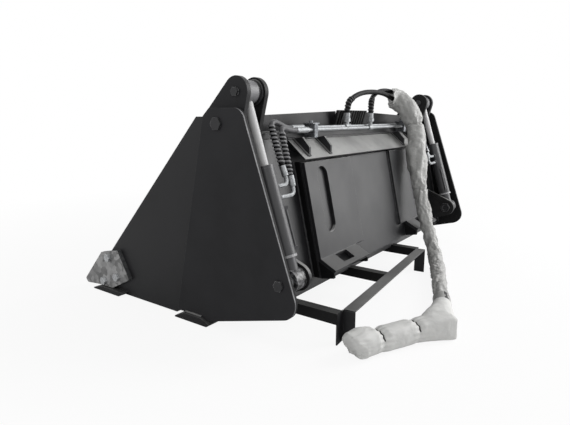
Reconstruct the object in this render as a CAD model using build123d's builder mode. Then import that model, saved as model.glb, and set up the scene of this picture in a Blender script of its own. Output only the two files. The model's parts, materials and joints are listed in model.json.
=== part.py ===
from build123d import *
import math
import os

# Combination bucket for a compact loader, on its shipping stand: a fixed back half carries the coupling frame,
# and two hydraulic cylinders swing the front clam open about a pair of pivot pins.
# +X is the operator's right, +Y points forward to the front cutting edge, +Z is up and the ground is Z = 0.
# The origin is on the ground, midway between the sides and between the front and rear ends. Lengths are in mm.

os.makedirs("parts", exist_ok=True)

SIDES = (("left", -1), ("right", 1))

# Layers across the bucket, from the outside in
bucket_width = 1830.0
side_plate_thickness = 16.0
swing_gap = 3.0
clam_side_thickness = 12.0
arm_thickness = 20.0
eye_width = 56.0
eye_gap = 2.0
arm_boss_length = 14.0
bracket_thickness = 16.0
lug_thickness = 16.0

half_width = bucket_width / 2
side_inner = half_width - side_plate_thickness
clam_outer = side_inner - swing_gap
clam_inner = clam_outer - clam_side_thickness
outer_arm_inner = clam_inner - arm_thickness
cylinder_x = outer_arm_inner - eye_gap - eye_width / 2
eye_inner = cylinder_x - eye_width / 2
eye_outer = cylinder_x + eye_width / 2
boss_outer = eye_inner - eye_gap
inner_arm_outer = boss_outer - arm_boss_length
inner_arm_inner = inner_arm_outer - arm_thickness
bracket_outer = inner_arm_inner - swing_gap
bracket_inner = bracket_outer - bracket_thickness
lug_outer = eye_inner - eye_gap
lug_inner = lug_outer - lug_thickness

# Pins, with the cylinder's upper pin placed from the pivot
pivot_y = -214.0
pivot_z = 745.0
rod_pin_back = 60.0
rod_pin_rise = 105.0
base_pin_y = -472.0
base_pin_z = 229.0
pivot_pin_diameter = 40.0
cylinder_pin_diameter = 30.0
running_fit = 0.05
eye_play = 11.0
pivot_head_flats = 41.0
base_head_flats = 34.0
pin_head_thickness = 7.0
pin_nut_flats = 50.0
nut_thickness = 16.0
rod_bolt_flats = 27.0
rod_bolt_thickness = 8.0

pivot = (pivot_y, pivot_z)
rod_pin = (pivot_y - rod_pin_back, pivot_z + rod_pin_rise)
base_pin = (base_pin_y, base_pin_z)
pivot_hole = pivot_pin_diameter / 2 + running_fit
cylinder_hole = cylinder_pin_diameter / 2 + running_fit

# Rear cutting edge, as it lies on the ground
edge_overhang = 10.0
rear_tip_y = 30.0
rear_edge_thickness = 30.0
rear_edge_length = 185.0
rear_edge_back_run = 42.0
rear_edge_back_height = 12.0
rear_edge_undercut = 13.0
edge_bevel = 55.0
edge_nose = 5.0

edge_half = half_width + edge_overhang
rear_edge_back_y = rear_tip_y - rear_edge_length
rear_edge_top_back = (rear_edge_back_y + rear_edge_back_run, rear_edge_thickness)

# Back plate, its top rail and the floor behind the cutting edge
back_lean = 12.4
heel_y = -398.0
heel_z = 109.0
back_top_z = 688.0
back_thickness = 10.0
floor_thickness = 10.0
floor_lap = 43.0
arm_notch_room = 12.0
rail_depth = 45.0
rail_height = 22.0
rail_wall = 4.0

lean_slope = math.tan(math.radians(back_lean))
lean_stretch = 1 / math.cos(math.radians(back_lean))


def back_rear_y(z):
    """Y of the back plate's rear face at a height."""
    return heel_y + (z - heel_z) * lean_slope


def back_front_y(z):
    """Y of the back plate's front face at a height."""
    return back_rear_y(z) + back_thickness * lean_stretch


rail_rear_y = back_rear_y(back_top_z)
rail_front_y = rail_rear_y + rail_depth
rail_top_z = back_top_z + rail_height

# Fixed side plates
side_top_rise = 52.0
side_top_front = 34.0
side_chamfer_run = 29.0
side_chamfer_drop = 26.0
side_top_back = 109.0
side_heel_back = 83.0
side_heel_drop = 97.0
side_foot_back = 11.0
side_top_radius = 45.0
side_heel_radius = 60.0
side_meet_share = 0.6

# Pivot brackets and cylinder lugs
bracket_radius = 45.0
bracket_foot_top = 2.0
bracket_foot_length = 96.0
lug_radius = 48.0
lug_foot_below = 79.0
lug_foot_above = 101.0

# Spill guard with the slatted sight window
guard_thickness = 6.0
guard_middle_height = 84.0
guard_end_height = 63.0
guard_end_gap = 6.0
window_middle_x = -35.0
window_half = 115.0
window_sill = 12.0
slat_middle_x = -52.0
slat_count = 12
slat_pitch = 24.0
slat_width = 12.0
slat_depth = 14.0
slat_height = 88.0
slat_lean = 17.0

# Coupling frame on the back plate
attach_half = 575.0
strip_inner = 210.0
strip_thickness = 14.0
strip_standoff = 52.0
strip_top_z = 597.0
strip_bend_z = 228.0
foot_inner = 285.0
foot_drop = 35.0
foot_reach = 67.0
gusset_edge = 20.0
panel_thickness = 8.0
panel_bottom_z = 150.0
web_thickness = 10.0
slot_x = 460.0
slot_width = 75.0
slot_length = 266.0
slot_middle_z = 445.0
wedge_x = 430.0
wedge_width = 90.0
wedge_length = 48.0
wedge_from_bend = 6.0
lip_top_z = 684.0
lip_edge_y = -357.0
lip_edge_z = 611.0
lip_overhang = 12.0
lip_thickness = 8.0
rib_places = (385.0, 545.0)
rib_thickness = 12.0
rib_peak_back = 45.0
rib_peak_rise = 8.0
rib_front_rise = 43.0
rib_foot_inset = 7.0

# Front clam
front_tip_y = 575.0
front_edge_thickness = 22.0
front_edge_length = 219.0
front_edge_undercut = 36.0
clam_floor_z = 6.0
clam_floor_thickness = 12.0
clam_floor_gap = 17.0
clam_top_rise = 24.0
clam_front_top_y = -99.0
clam_nose_y = 585.0
clam_nose_z = 60.0
clam_nose_foot_y = 560.0
clam_back_reach = 48.0
clam_back_drop = 30.0
clam_knee_y = -120.0
clam_knee_z = 140.0
clam_tail_back = 25.0
clam_tail_z = 45.0
arm_pivot_radius = 83.0
arm_tip_radius = 51.0
arm_tube_diameter = 64.0
arm_boss_diameter = 78.0

front_edge_back_y = front_tip_y - front_edge_length
clam_floor_back_y = rear_tip_y + clam_floor_gap
clam_floor_top_z = clam_floor_z + clam_floor_thickness
clam_top_z = pivot_z + clam_top_rise

# Bolt-on side cutters
cutter_thickness = 18.0
cutter_outline = ((448, 24), (530, 24), (636, 14), (650, 32), (511, 179), (393, 205), (322, 86))
cutter_corner = 8.0
cutter_bolts = ((460, 161), (503, 48), (407, 82))
cutter_bolt_diameter = 20.0
cutter_head_flats = 32.0
cutter_head_thickness = 12.0

# Hydraulic cylinders, measured along the rod from the base pin
barrel_diameter = 64.0
barrel_bore = 50.0
barrel_length = 384.0
barrel_floor = 15.0
neck_diameter = 54.0
base_eye_diameter = 78.0
collar_place = 77.0
collar_length = 8.0
collar_diameter = 69.0
gland_depth = 35.0
gland_cap = 9.0
gland_cap_diameter = 66.0
rod_diameter = 32.0
rod_eye_diameter = 78.0
piston_length = 30.0
piston_stop = 4.0
spacer_diameter = 50.0
port_boss_diameter = 26.0
port_boss_length = 8.0
rod_port_place = 320.0
base_port_place = 280.0

rod_reach = math.dist(base_pin, rod_pin)
rod_axis = (0, (rod_pin[0] - base_pin[0]) / rod_reach, (rod_pin[1] - base_pin[1]) / rod_reach)
piston_place = barrel_length - gland_depth - piston_stop - piston_length
port_face_x = cylinder_x - barrel_diameter / 2 - port_boss_length

# Hydraulic plumbing
tube_diameter = 14.0
tube_end_room = 415.0
upper_tube_back = 14.0
upper_tube_rise = 38.0
lower_tube_back = 37.0
lower_tube_rise = 30.0
clamp_end_gap = 42.0
clamp_width = 24.0
clamp_wall = 7.0
clamp_cap_width = 50.0
clamp_cap_thickness = 5.0
clamp_bolt_flats = 13.0
clamp_bolt_height = 8.0
left_tee_x = -138.0
right_tee_x = 55.0
tee_diameter = 24.0
tee_length = 44.0
branch_diameter = 18.0
branch_nut_flats = 27.0
branch_nut_height = 16.0
branch_nut_z = 746.0
crimp_diameter = 27.0
crimp_top_z = 786.0
hose_diameter = 22.0
hose_crimp_length = 80.0
hose_crimp_diameter = 23.0
supply_diameter = 20.0
elbow_diameter = 15.0
elbow_radius = 24.0
elbow_leg = 30.0
rod_elbow_reach = 66.0
base_elbow_reach = 90.0
hose_lead = 30.0
end_crimp_length = 38.0
end_crimp_diameter = 24.0
pipe_diameter = 9.0
pipe_offset = 5.0
pipe_turn = 35.0
pipe_block_width = 14.0
pipe_block_length = 12.0
pipe_top_place = 235.0
pipe_foot_place = 95.0

# Cylinder hoses, as (outward, Y, Z) points from the end of the crimp on each feed tube
rod_hose_top = ((72, 3.7, 17), (117, 2.7, 27))
rod_hose_bend = (134, -5.3, -2)
base_hose_top = ((58, 1.7, 6), (94, -1.3, 12))
base_hose_bend = (111, -11.3, -10)

tube_half = half_width - tube_end_room
clamp_x = tube_half - clamp_end_gap
upper_tube = (rail_rear_y - upper_tube_back, back_top_z + upper_tube_rise)
lower_tube = (rail_rear_y - lower_tube_back, back_top_z + lower_tube_rise)

# Supply hoses and their padded wrapping, as (X, Y, Z) points along each route
supply_lead = 38.0
supply_routes = (
    ((-110, -283, 856), (-24, -279, 873), (124, -272, 876), (260, -264, 870), (352, -264, 870)),
    ((77, -303, 858), (140, -296, 882), (250, -284, 890), (352, -284, 890)),
)
hose_sides = 8
wrap_diameter = 78.0
wrap_route = (
    (352, -274, 878),
    (418, -274, 878),
    (456, -352, 818),
    (446, -398, 706),
    (414, -424, 548),
    (366, -502, 292),
    (336, -560, 112),
    (268, -602, 46),
    (100, -668, 42),
    (-130, -750, 42),
    (-300, -818, 44),
    (-470, -878, 50),
    (-640, -786, 51),
    (-800, -706, 51),
)
bag_start = (-435, -888, 51)
bag_end = (-845, -684, 51)
bag_radius = 50.0
bag_tie_radius = 42.0
bag_end_radius = 34.0
bag_flat_share = 0.5
bag_sides = 12

# Shipping stand of angle iron
post_leg = 50.0
bar_leg = 40.0
angle_wall = 5.0
beam_width = 44.0
stand_top_z = 118.0
stand_left_x = -718.0
stand_right_x = 184.0
stand_rear_y = -650.0
stand_skew = 5.1
bar_places = (-774.0, -297.0, 165.0)


def keep(name, part):
    """Give a finished piece its name and write it under that name."""
    part.label = name
    export_step(part, f"parts/{name}.step")


def layer(side, inner, outer):
    """Plane, with local axes along Y and Z, at the low-X face of a layer between two distances from the middle."""
    return Plane.YZ.offset(min(side * inner, side * outer))


def unit(start, end):
    """Direction from one (Y, Z) point to another, of length one."""
    reach = math.dist(start, end)
    return ((end[0] - start[0]) / reach, (end[1] - start[1]) / reach)


def beside(point, direction, distance):
    """Point that lies a distance to the right of a (Y, Z) direction of travel."""
    return (point[0] + distance * direction[1], point[1] - distance * direction[0])


def along(point, direction, distance):
    """Point that lies a distance further along a (Y, Z) direction."""
    return (point[0] + distance * direction[0], point[1] + distance * direction[1])


def arc_radii(route):
    """Largest even bends for a route: 0.45 of the shorter run over the tangent of half the turn, at each corner."""
    radii = []
    for before, here, after in zip(route, route[1:], route[2:]):
        arriving = Vector(here) - Vector(before)
        leaving = Vector(after) - Vector(here)
        half_turn = math.radians(arriving.get_angle(leaving)) / 2
        radii.append(0.45 * min(arriving.length, leaving.length) / math.tan(half_turn))
    return radii


def tube(route, diameter, radii):
    """Solid tube of one diameter, with narrow flats, along straight runs and tangent arcs."""
    with BuildPart() as piece:
        with BuildLine() as path:
            FilletPolyline(*route, radius=radii)
        with BuildSketch(Plane(origin=route[0], z_dir=Vector(route[1]) - Vector(route[0]))):
            RegularPolygon(diameter / 2, hose_sides)
        sweep(path=path.line)
    return piece.part


# Fixed side plates
heel_corner = (base_pin_y - side_heel_back, base_pin_z - side_heel_drop)
top_corner = (pivot_y - side_top_back, pivot_z + side_top_rise)
side_meet = (
    rear_edge_top_back[0] - side_meet_share * rear_edge_back_run,
    rear_edge_thickness - side_meet_share * (rear_edge_thickness - rear_edge_back_height),
)
for name, side in SIDES:
    with BuildPart() as side_plate:
        with BuildSketch(layer(side, side_inner, half_width)) as outline:
            with BuildLine():
                Polyline(
                    (pivot_y + side_top_front, top_corner[1]),
                    (pivot_y + side_top_front + side_chamfer_run, top_corner[1] - side_chamfer_drop),
                    (rear_tip_y - side_foot_back, rear_edge_thickness),
                    rear_edge_top_back,
                    side_meet,
                    heel_corner,
                    top_corner,
                    close=True,
                )
            make_face()
            fillet(outline.vertices().sort_by_distance(top_corner)[0], side_top_radius)
            fillet(outline.vertices().sort_by_distance(heel_corner)[0], side_heel_radius)
            with Locations(pivot):
                Circle(pivot_hole, mode=Mode.SUBTRACT)
            with Locations(base_pin):
                Circle(cylinder_hole, mode=Mode.SUBTRACT)
        extrude(amount=side_plate_thickness)
    keep(f"{name}_side_plate", side_plate.part)

# Rear cutting edge
with BuildPart() as rear_cutting_edge:
    with BuildSketch(Plane.YZ.offset(-edge_half)):
        with BuildLine():
            Polyline(
                (rear_tip_y, 0),
                (rear_tip_y, edge_nose),
                (rear_tip_y - edge_bevel, rear_edge_thickness),
                rear_edge_top_back,
                (rear_edge_back_y, rear_edge_back_height),
                (rear_edge_back_y + rear_edge_undercut, 0),
                close=True,
            )
        make_face()
    extrude(amount=2 * edge_half)
keep("rear_cutting_edge", rear_cutting_edge.part)

# Back plate, cut away at its upper corners where the clam's arms swing through
notch_z = pivot_z - arm_pivot_radius - arm_notch_room
with BuildPart() as back_plate:
    for reach, top in ((bracket_outer, back_top_z), (side_inner, notch_z)):
        with BuildSketch(Plane.YZ.offset(-reach)):
            with BuildLine():
                Polyline(
                    (back_rear_y(heel_z), heel_z),
                    (back_front_y(heel_z), heel_z),
                    (back_front_y(top), top),
                    (back_rear_y(top), top),
                    close=True,
                )
            make_face()
        extrude(amount=2 * reach)
keep("back_plate", back_plate.part)

# Sloping back floor, with a flat toe that laps the cutting edge
floor_heel = (back_front_y(heel_z), heel_z)
floor_toe = (rear_edge_top_back[0] + floor_lap, rear_edge_thickness)
floor_angle = math.atan2(heel_z - rear_edge_thickness, rear_edge_top_back[0] - floor_heel[0])
floor_heel_rise = floor_thickness / math.cos(floor_angle) / (1 + math.tan(floor_angle) * lean_slope)
floor_heel_top = (back_front_y(heel_z + floor_heel_rise), heel_z + floor_heel_rise)
with BuildPart() as back_floor:
    with BuildSketch(Plane.YZ.offset(-side_inner)):
        with BuildLine():
            Polyline(
                floor_heel,
                rear_edge_top_back,
                floor_toe,
                (floor_toe[0], floor_toe[1] + floor_thickness),
                (
                    rear_edge_top_back[0] + floor_thickness * math.tan(floor_angle / 2),
                    rear_edge_thickness + floor_thickness,
                ),
                floor_heel_top,
                close=True,
            )
        make_face()
    extrude(amount=2 * side_inner)
keep("back_floor", back_floor.part)

# Rectangular top rail on the back plate
with BuildPart() as top_rail:
    with BuildSketch(Plane.YZ.offset(-bracket_inner)):
        with Locations((rail_rear_y + rail_depth / 2, back_top_z + rail_height / 2)):
            Rectangle(rail_depth, rail_height)
            Rectangle(rail_depth - 2 * rail_wall, rail_height - 2 * rail_wall, mode=Mode.SUBTRACT)
    extrude(amount=2 * bracket_inner)
keep("top_rail", top_rail.part)

# Pivot brackets on the front of the back plate
back_rear_plane = Plane(
    origin=(0, heel_y, heel_z),
    x_dir=(1, 0, 0),
    z_dir=(0, math.cos(math.radians(back_lean)), -math.sin(math.radians(back_lean))),
)
back_front_plane = back_rear_plane.offset(back_thickness)
with BuildPart() as pivot_brackets:
    for _, side in SIDES:
        foot_top_z = back_top_z - bracket_foot_top
        foot_low_z = foot_top_z - bracket_foot_length
        with BuildSketch(layer(side, bracket_inner, bracket_outer)):
            with BuildLine():
                Line((back_front_y(foot_top_z), foot_top_z), (back_front_y(foot_low_z), foot_low_z))
            with Locations(pivot):
                Circle(bracket_radius)
            make_hull()
            with Locations(pivot):
                Circle(pivot_hole, mode=Mode.SUBTRACT)
        extrude(amount=bracket_thickness)
    split(bisect_by=back_front_plane, keep=Keep.TOP)
keep("pivot_brackets", pivot_brackets.part)

# Cylinder lugs standing off the back plate
with BuildPart() as cylinder_lugs:
    for _, side in SIDES:
        foot_top_z = base_pin_z + lug_foot_above
        foot_low_z = base_pin_z - lug_foot_below
        with BuildSketch(layer(side, lug_inner, lug_outer)):
            with BuildLine():
                Line((back_rear_y(foot_top_z), foot_top_z), (back_rear_y(foot_low_z), foot_low_z))
            with Locations(base_pin):
                Circle(lug_radius)
            make_hull()
            with Locations(base_pin):
                Circle(cylinder_hole, mode=Mode.SUBTRACT)
        extrude(amount=lug_thickness)
keep("cylinder_lugs", cylinder_lugs.part)


def headed_pins(centre, diameter, head_flats, inner_end):
    """Pair of hex-headed pins, one per side, from an inner end out to a head on the side plate."""
    with BuildPart() as pins:
        for _, side in SIDES:
            with BuildSketch(layer(side, inner_end, half_width)):
                with Locations(centre):
                    Circle(diameter / 2)
            extrude(amount=half_width - inner_end)
            with BuildSketch(layer(side, half_width, half_width + pin_head_thickness)):
                with Locations(centre):
                    RegularPolygon(head_flats / 2, 6, major_radius=False)
            extrude(amount=pin_head_thickness)
    return pins.part


keep("pivot_pins", headed_pins(pivot, pivot_pin_diameter, pivot_head_flats, bracket_inner - nut_thickness))
keep("base_pins", headed_pins(base_pin, cylinder_pin_diameter, base_head_flats, lug_inner - nut_thickness))

# Nuts on the inner ends of the pins, bearing on the brackets and lugs
with BuildPart() as pin_nuts:
    for _, side in SIDES:
        for centre, hole, seat in ((pivot, pivot_hole, bracket_inner), (base_pin, cylinder_hole, lug_inner)):
            with BuildSketch(layer(side, seat - nut_thickness, seat)):
                with Locations(centre):
                    RegularPolygon(pin_nut_flats / 2, 6, major_radius=False)
                    Circle(hole, mode=Mode.SUBTRACT)
            extrude(amount=nut_thickness)
keep("pin_nuts", pin_nuts.part)

# Sleeves on the base pins, between the cylinder eyes and the side plates
with BuildPart() as pin_spacers:
    for _, side in SIDES:
        with BuildSketch(layer(side, eye_outer + eye_gap, side_inner)):
            with Locations(base_pin):
                Circle(spacer_diameter / 2)
                Circle(cylinder_hole, mode=Mode.SUBTRACT)
        extrude(amount=side_inner - eye_outer - eye_gap)
keep("pin_spacers", pin_spacers.part)

# Spill guard above the rail, open in the middle for the operator's view
guard_rear_y = rail_front_y - guard_thickness
guard_half = bracket_inner - nut_thickness - guard_end_gap
window_left = window_middle_x - window_half
window_right = window_middle_x + window_half
with BuildPart() as spill_guard:
    with BuildSketch(Plane.XZ.offset(-rail_front_y)):
        with BuildLine():
            Polyline(
                (-guard_half, rail_top_z),
                (guard_half, rail_top_z),
                (guard_half, rail_top_z + guard_end_height),
                (window_right, rail_top_z + guard_middle_height),
                (window_right, rail_top_z + window_sill),
                (window_left, rail_top_z + window_sill),
                (window_left, rail_top_z + guard_middle_height),
                (-guard_half, rail_top_z + guard_end_height),
                close=True,
            )
        make_face()
    extrude(amount=guard_thickness)
keep("spill_guard", spill_guard.part)

# Slats of the sight window, leaning to the rear
slat_y = guard_rear_y - slat_depth / 2
with BuildPart() as view_slats:
    with BuildSketch(Plane.XY.offset(rail_top_z)):
        with Locations((slat_middle_x, slat_y)):
            with GridLocations(slat_pitch, slat_pitch, slat_count, 1):
                Rectangle(slat_width, slat_depth)
    slat_rise = (0, -math.sin(math.radians(slat_lean)), math.cos(math.radians(slat_lean)))
    extrude(amount=slat_height / slat_rise[2], dir=slat_rise)
keep("view_slats", view_slats.part)


def attach_y(z, depth):
    """Y of a plane parallel to the back plate, at a level distance behind its rear face."""
    return back_rear_y(z) - depth


# Coupling frame: two strips with bent feet on a panel, held off the back plate and braced below by webs
panel_rear = strip_standoff - strip_thickness * lean_stretch
panel_front = panel_rear - panel_thickness * lean_stretch
foot_bend = (attach_y(strip_bend_z, strip_standoff), strip_bend_z)
foot_tip = (foot_bend[0] - foot_reach, foot_bend[1] - foot_drop)
foot_line = unit(foot_tip, foot_bend)
strip_line = (math.sin(math.radians(back_lean)), math.cos(math.radians(back_lean)))
foot_tip_under = beside(foot_tip, foot_line, strip_thickness)
bend_turn = math.atan2(foot_line[0], foot_line[1]) - math.radians(back_lean)
bend_under = along(
    beside(foot_bend, strip_line, strip_thickness), strip_line, -strip_thickness * math.tan(bend_turn / 2)
)
strip_top = (attach_y(strip_top_z, strip_standoff), strip_top_z)
strip_top_under = (attach_y(strip_top_z, panel_rear), strip_top_z)
foot_plane = Plane(
    origin=(0, *along(foot_bend, foot_line, -wedge_from_bend - wedge_length / 2)),
    x_dir=(1, 0, 0),
    z_dir=(0, -foot_line[1], foot_line[0]),
)
strip_plane = Plane(
    origin=(0, attach_y(slot_middle_z, strip_standoff), slot_middle_z),
    x_dir=(1, 0, 0),
    z_dir=(0, -strip_line[1], strip_line[0]),
)
for name, side in SIDES:
    with BuildPart() as attach_strip:
        with BuildSketch(layer(side, strip_inner, attach_half)):
            with BuildLine():
                Polyline(strip_top, foot_bend, bend_under, strip_top_under, close=True)
            make_face()
        extrude(amount=attach_half - strip_inner)
        with BuildSketch(layer(side, foot_inner, attach_half)):
            with BuildLine():
                Polyline(foot_bend, foot_tip, foot_tip_under, bend_under, close=True)
            make_face()
        extrude(amount=attach_half - foot_inner)
        with BuildSketch(strip_plane):
            with Locations((side * slot_x, 0)):
                SlotOverall(slot_length, slot_width, rotation=90)
        extrude(amount=-2 * strip_thickness, mode=Mode.SUBTRACT)
        with BuildSketch(foot_plane):
            with Locations((side * wedge_x, 0)):
                Rectangle(wedge_width, wedge_length)
        extrude(amount=-2 * strip_thickness, mode=Mode.SUBTRACT)
    keep(f"{name}_attach_strip", attach_strip.part)

with BuildPart() as attach_panel:
    with BuildSketch(Plane.YZ.offset(-attach_half)):
        with BuildLine():
            Polyline(
                (attach_y(strip_top_z, panel_rear), strip_top_z),
                (attach_y(panel_bottom_z, panel_rear), panel_bottom_z),
                (attach_y(panel_bottom_z, panel_front), panel_bottom_z),
                (attach_y(strip_top_z, panel_front), strip_top_z),
                close=True,
            )
        make_face()
    extrude(amount=2 * attach_half)
keep("attach_panel", attach_panel.part)

with BuildPart() as attach_webs:
    for _, side in SIDES:
        for web_outer in (attach_half, foot_inner + web_thickness):
            with BuildSketch(layer(side, web_outer - web_thickness, web_outer)):
                with BuildLine():
                    Polyline(
                        (back_rear_y(strip_top_z), strip_top_z),
                        (attach_y(strip_top_z, panel_front), strip_top_z),
                        (attach_y(panel_bottom_z, panel_front), panel_bottom_z),
                        (back_rear_y(panel_bottom_z), panel_bottom_z),
                        close=True,
                    )
                make_face()
                with BuildLine():
                    Polyline(
                        bend_under,
                        foot_tip_under,
                        (foot_tip_under[0], foot_tip_under[1] - gusset_edge),
                        (attach_y(panel_bottom_z, panel_rear), panel_bottom_z),
                        close=True,
                    )
                make_face()
            extrude(amount=web_thickness)
keep("attach_webs", attach_webs.part)

# Sloping hook lip along the top of the coupling frame
lip_root = (back_rear_y(lip_top_z), lip_top_z)
lip_edge = (lip_edge_y, lip_edge_z)
lip_line = unit(lip_edge, lip_root)
lip_edge_under = beside(lip_edge, lip_line, lip_thickness)
lip_run = (back_rear_y(lip_edge_under[1]) - lip_edge_under[0]) / (lip_line[0] - lip_line[1] * lean_slope)
lip_half = attach_half + lip_overhang
with BuildPart() as attach_lip:
    with BuildSketch(Plane.YZ.offset(-lip_half)):
        with BuildLine():
            Polyline(lip_root, lip_edge, lip_edge_under, along(lip_edge_under, lip_line, lip_run), close=True)
        make_face()
    extrude(amount=2 * lip_half)
keep("attach_lip", attach_lip.part)

with BuildPart() as lip_ribs:
    for _, side in SIDES:
        for place in rib_places:
            with BuildSketch(layer(side, place - rib_thickness / 2, place + rib_thickness / 2)):
                with BuildLine():
                    Polyline(
                        lip_root,
                        (lip_root[0] - rib_peak_back, lip_root[1] + rib_peak_rise),
                        (lip_edge[0] + rib_foot_inset, lip_edge[1] + rib_front_rise),
                        along(lip_edge, lip_line, rib_foot_inset / lip_line[0]),
                        close=True,
                    )
                make_face()
            extrude(amount=rib_thickness)
keep("lip_ribs", lip_ribs.part)


def front_edge_end_y(z):
    """Y of the front cutting edge's slanting rear end at a height."""
    return front_edge_back_y + front_edge_undercut * (1 - z / front_edge_thickness)


# Clam floor and front cutting edge
with BuildPart() as clam_floor:
    with BuildSketch(Plane.YZ.offset(-clam_inner)):
        with BuildLine():
            Polyline(
                (clam_floor_back_y, clam_floor_z),
                (front_edge_end_y(clam_floor_z), clam_floor_z),
                (front_edge_end_y(clam_floor_top_z), clam_floor_top_z),
                (clam_floor_back_y + clam_floor_thickness, clam_floor_top_z),
                close=True,
            )
        make_face()
    extrude(amount=2 * clam_inner)
keep("clam_floor", clam_floor.part)

with BuildPart() as front_cutting_edge:
    with BuildSketch(Plane.YZ.offset(-edge_half)):
        with BuildLine():
            Polyline(
                (front_tip_y, 0),
                (front_tip_y, edge_nose),
                (front_tip_y - edge_bevel, front_edge_thickness),
                (front_edge_back_y, front_edge_thickness),
                (front_edge_back_y + front_edge_undercut, 0),
                close=True,
            )
        make_face()
    extrude(amount=2 * edge_half)
keep("front_cutting_edge", front_cutting_edge.part)

# Clam sides, between the fixed side plates and the arms
for name, side in SIDES:
    with BuildPart() as clam_side:
        with BuildSketch(layer(side, clam_inner, clam_outer)):
            with BuildLine():
                Polyline(
                    (clam_floor_back_y, clam_floor_z),
                    (front_edge_end_y(clam_floor_z), clam_floor_z),
                    (front_edge_back_y, front_edge_thickness),
                    (clam_nose_foot_y, front_edge_thickness),
                    (clam_nose_y, clam_nose_z),
                    (clam_front_top_y, clam_top_z),
                    (pivot_y - clam_back_reach, clam_top_z),
                    (pivot_y - clam_back_reach, pivot_z - clam_back_drop),
                    (clam_knee_y, clam_knee_z),
                    (clam_floor_back_y - clam_tail_back, clam_tail_z),
                    close=True,
                )
            make_face()
            with Locations(pivot):
                Circle(pivot_hole, mode=Mode.SUBTRACT)
            with Locations(*cutter_bolts):
                Circle(cutter_bolt_diameter / 2 + running_fit, mode=Mode.SUBTRACT)
        extrude(amount=clam_side_thickness)
    keep(f"{name}_clam_side", clam_side.part)


def arm(side, inner, outer):
    """Tapered swing arm from the pivot to the rod pin."""
    with BuildPart() as piece:
        with BuildSketch(layer(side, inner, outer)):
            with Locations(pivot):
                Circle(arm_pivot_radius)
            with Locations(rod_pin):
                Circle(arm_tip_radius)
            make_hull()
            with Locations(pivot):
                Circle(pivot_hole, mode=Mode.SUBTRACT)
            with Locations(rod_pin):
                Circle(cylinder_hole, mode=Mode.SUBTRACT)
        extrude(amount=outer - inner)
    return piece.part


for name, side in SIDES:
    keep(f"{name}_outer_arm", arm(side, outer_arm_inner, clam_inner))
    keep(f"{name}_inner_arm", arm(side, inner_arm_inner, inner_arm_outer))

# Tubes that join each pair of arms round the pivot pin, and bosses at the rod pin
with BuildPart() as arm_tubes:
    for _, side in SIDES:
        with BuildSketch(layer(side, inner_arm_outer, outer_arm_inner)):
            with Locations(pivot):
                Circle(arm_tube_diameter / 2)
                Circle(pivot_hole, mode=Mode.SUBTRACT)
        extrude(amount=outer_arm_inner - inner_arm_outer)
keep("arm_tubes", arm_tubes.part)

with BuildPart() as arm_bosses:
    for _, side in SIDES:
        with BuildSketch(layer(side, inner_arm_outer, boss_outer)):
            with Locations(rod_pin):
                Circle(arm_boss_diameter / 2)
                Circle(cylinder_hole, mode=Mode.SUBTRACT)
        extrude(amount=arm_boss_length)
keep("arm_bosses", arm_bosses.part)

# Rod pins, held by a bolt head at each end
with BuildPart() as rod_pins:
    for _, side in SIDES:
        with BuildSketch(layer(side, inner_arm_inner, clam_inner)):
            with Locations(rod_pin):
                Circle(cylinder_pin_diameter / 2)
        extrude(amount=clam_inner - inner_arm_inner)
        for head_low in (clam_inner, inner_arm_inner - rod_bolt_thickness):
            with BuildSketch(layer(side, head_low, head_low + rod_bolt_thickness)):
                with Locations(rod_pin):
                    RegularPolygon(rod_bolt_flats / 2, 6, major_radius=False)
            extrude(amount=rod_bolt_thickness)
keep("rod_pins", rod_pins.part)

# Side cutters and their bolts
cutter_outer = clam_outer + cutter_thickness
for name, side in SIDES:
    with BuildPart() as side_cutter:
        with BuildSketch(layer(side, clam_outer, cutter_outer)) as outline:
            with BuildLine():
                Polyline(*cutter_outline, close=True)
            make_face()
            fillet(outline.vertices(), cutter_corner)
            with Locations(*cutter_bolts):
                Circle(cutter_bolt_diameter / 2 + running_fit, mode=Mode.SUBTRACT)
        extrude(amount=cutter_thickness)
    keep(f"{name}_side_cutter", side_cutter.part)

with BuildPart() as cutter_fasteners:
    for _, side in SIDES:
        with BuildSketch(layer(side, clam_inner, cutter_outer)):
            with Locations(*cutter_bolts):
                Circle(cutter_bolt_diameter / 2)
        extrude(amount=cutter_outer - clam_inner)
        for head_low in (cutter_outer, clam_inner - cutter_head_thickness):
            with BuildSketch(layer(side, head_low, head_low + cutter_head_thickness)):
                with Locations(*cutter_bolts):
                    RegularPolygon(cutter_head_flats / 2, 6, major_radius=False)
            extrude(amount=cutter_head_thickness)
keep("cutter_bolts", cutter_fasteners.part)


def on_rod(side, place):
    """Plane square to a cylinder's axis, with local x along X, a distance from its base pin."""
    start = Plane(origin=(side * cylinder_x, *base_pin), x_dir=(1, 0, 0), z_dir=rod_axis)
    return start.offset(place)


def on_axis(place):
    """(Y, Z) of the point on a cylinder's axis at a distance from its base pin."""
    return (base_pin[0] + place * rod_axis[1], base_pin[1] + place * rod_axis[2])


def eye_sketch_plane(side):
    """Plane at the low-X face of a cylinder's eyes."""
    return layer(side, eye_inner, eye_outer)


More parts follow.
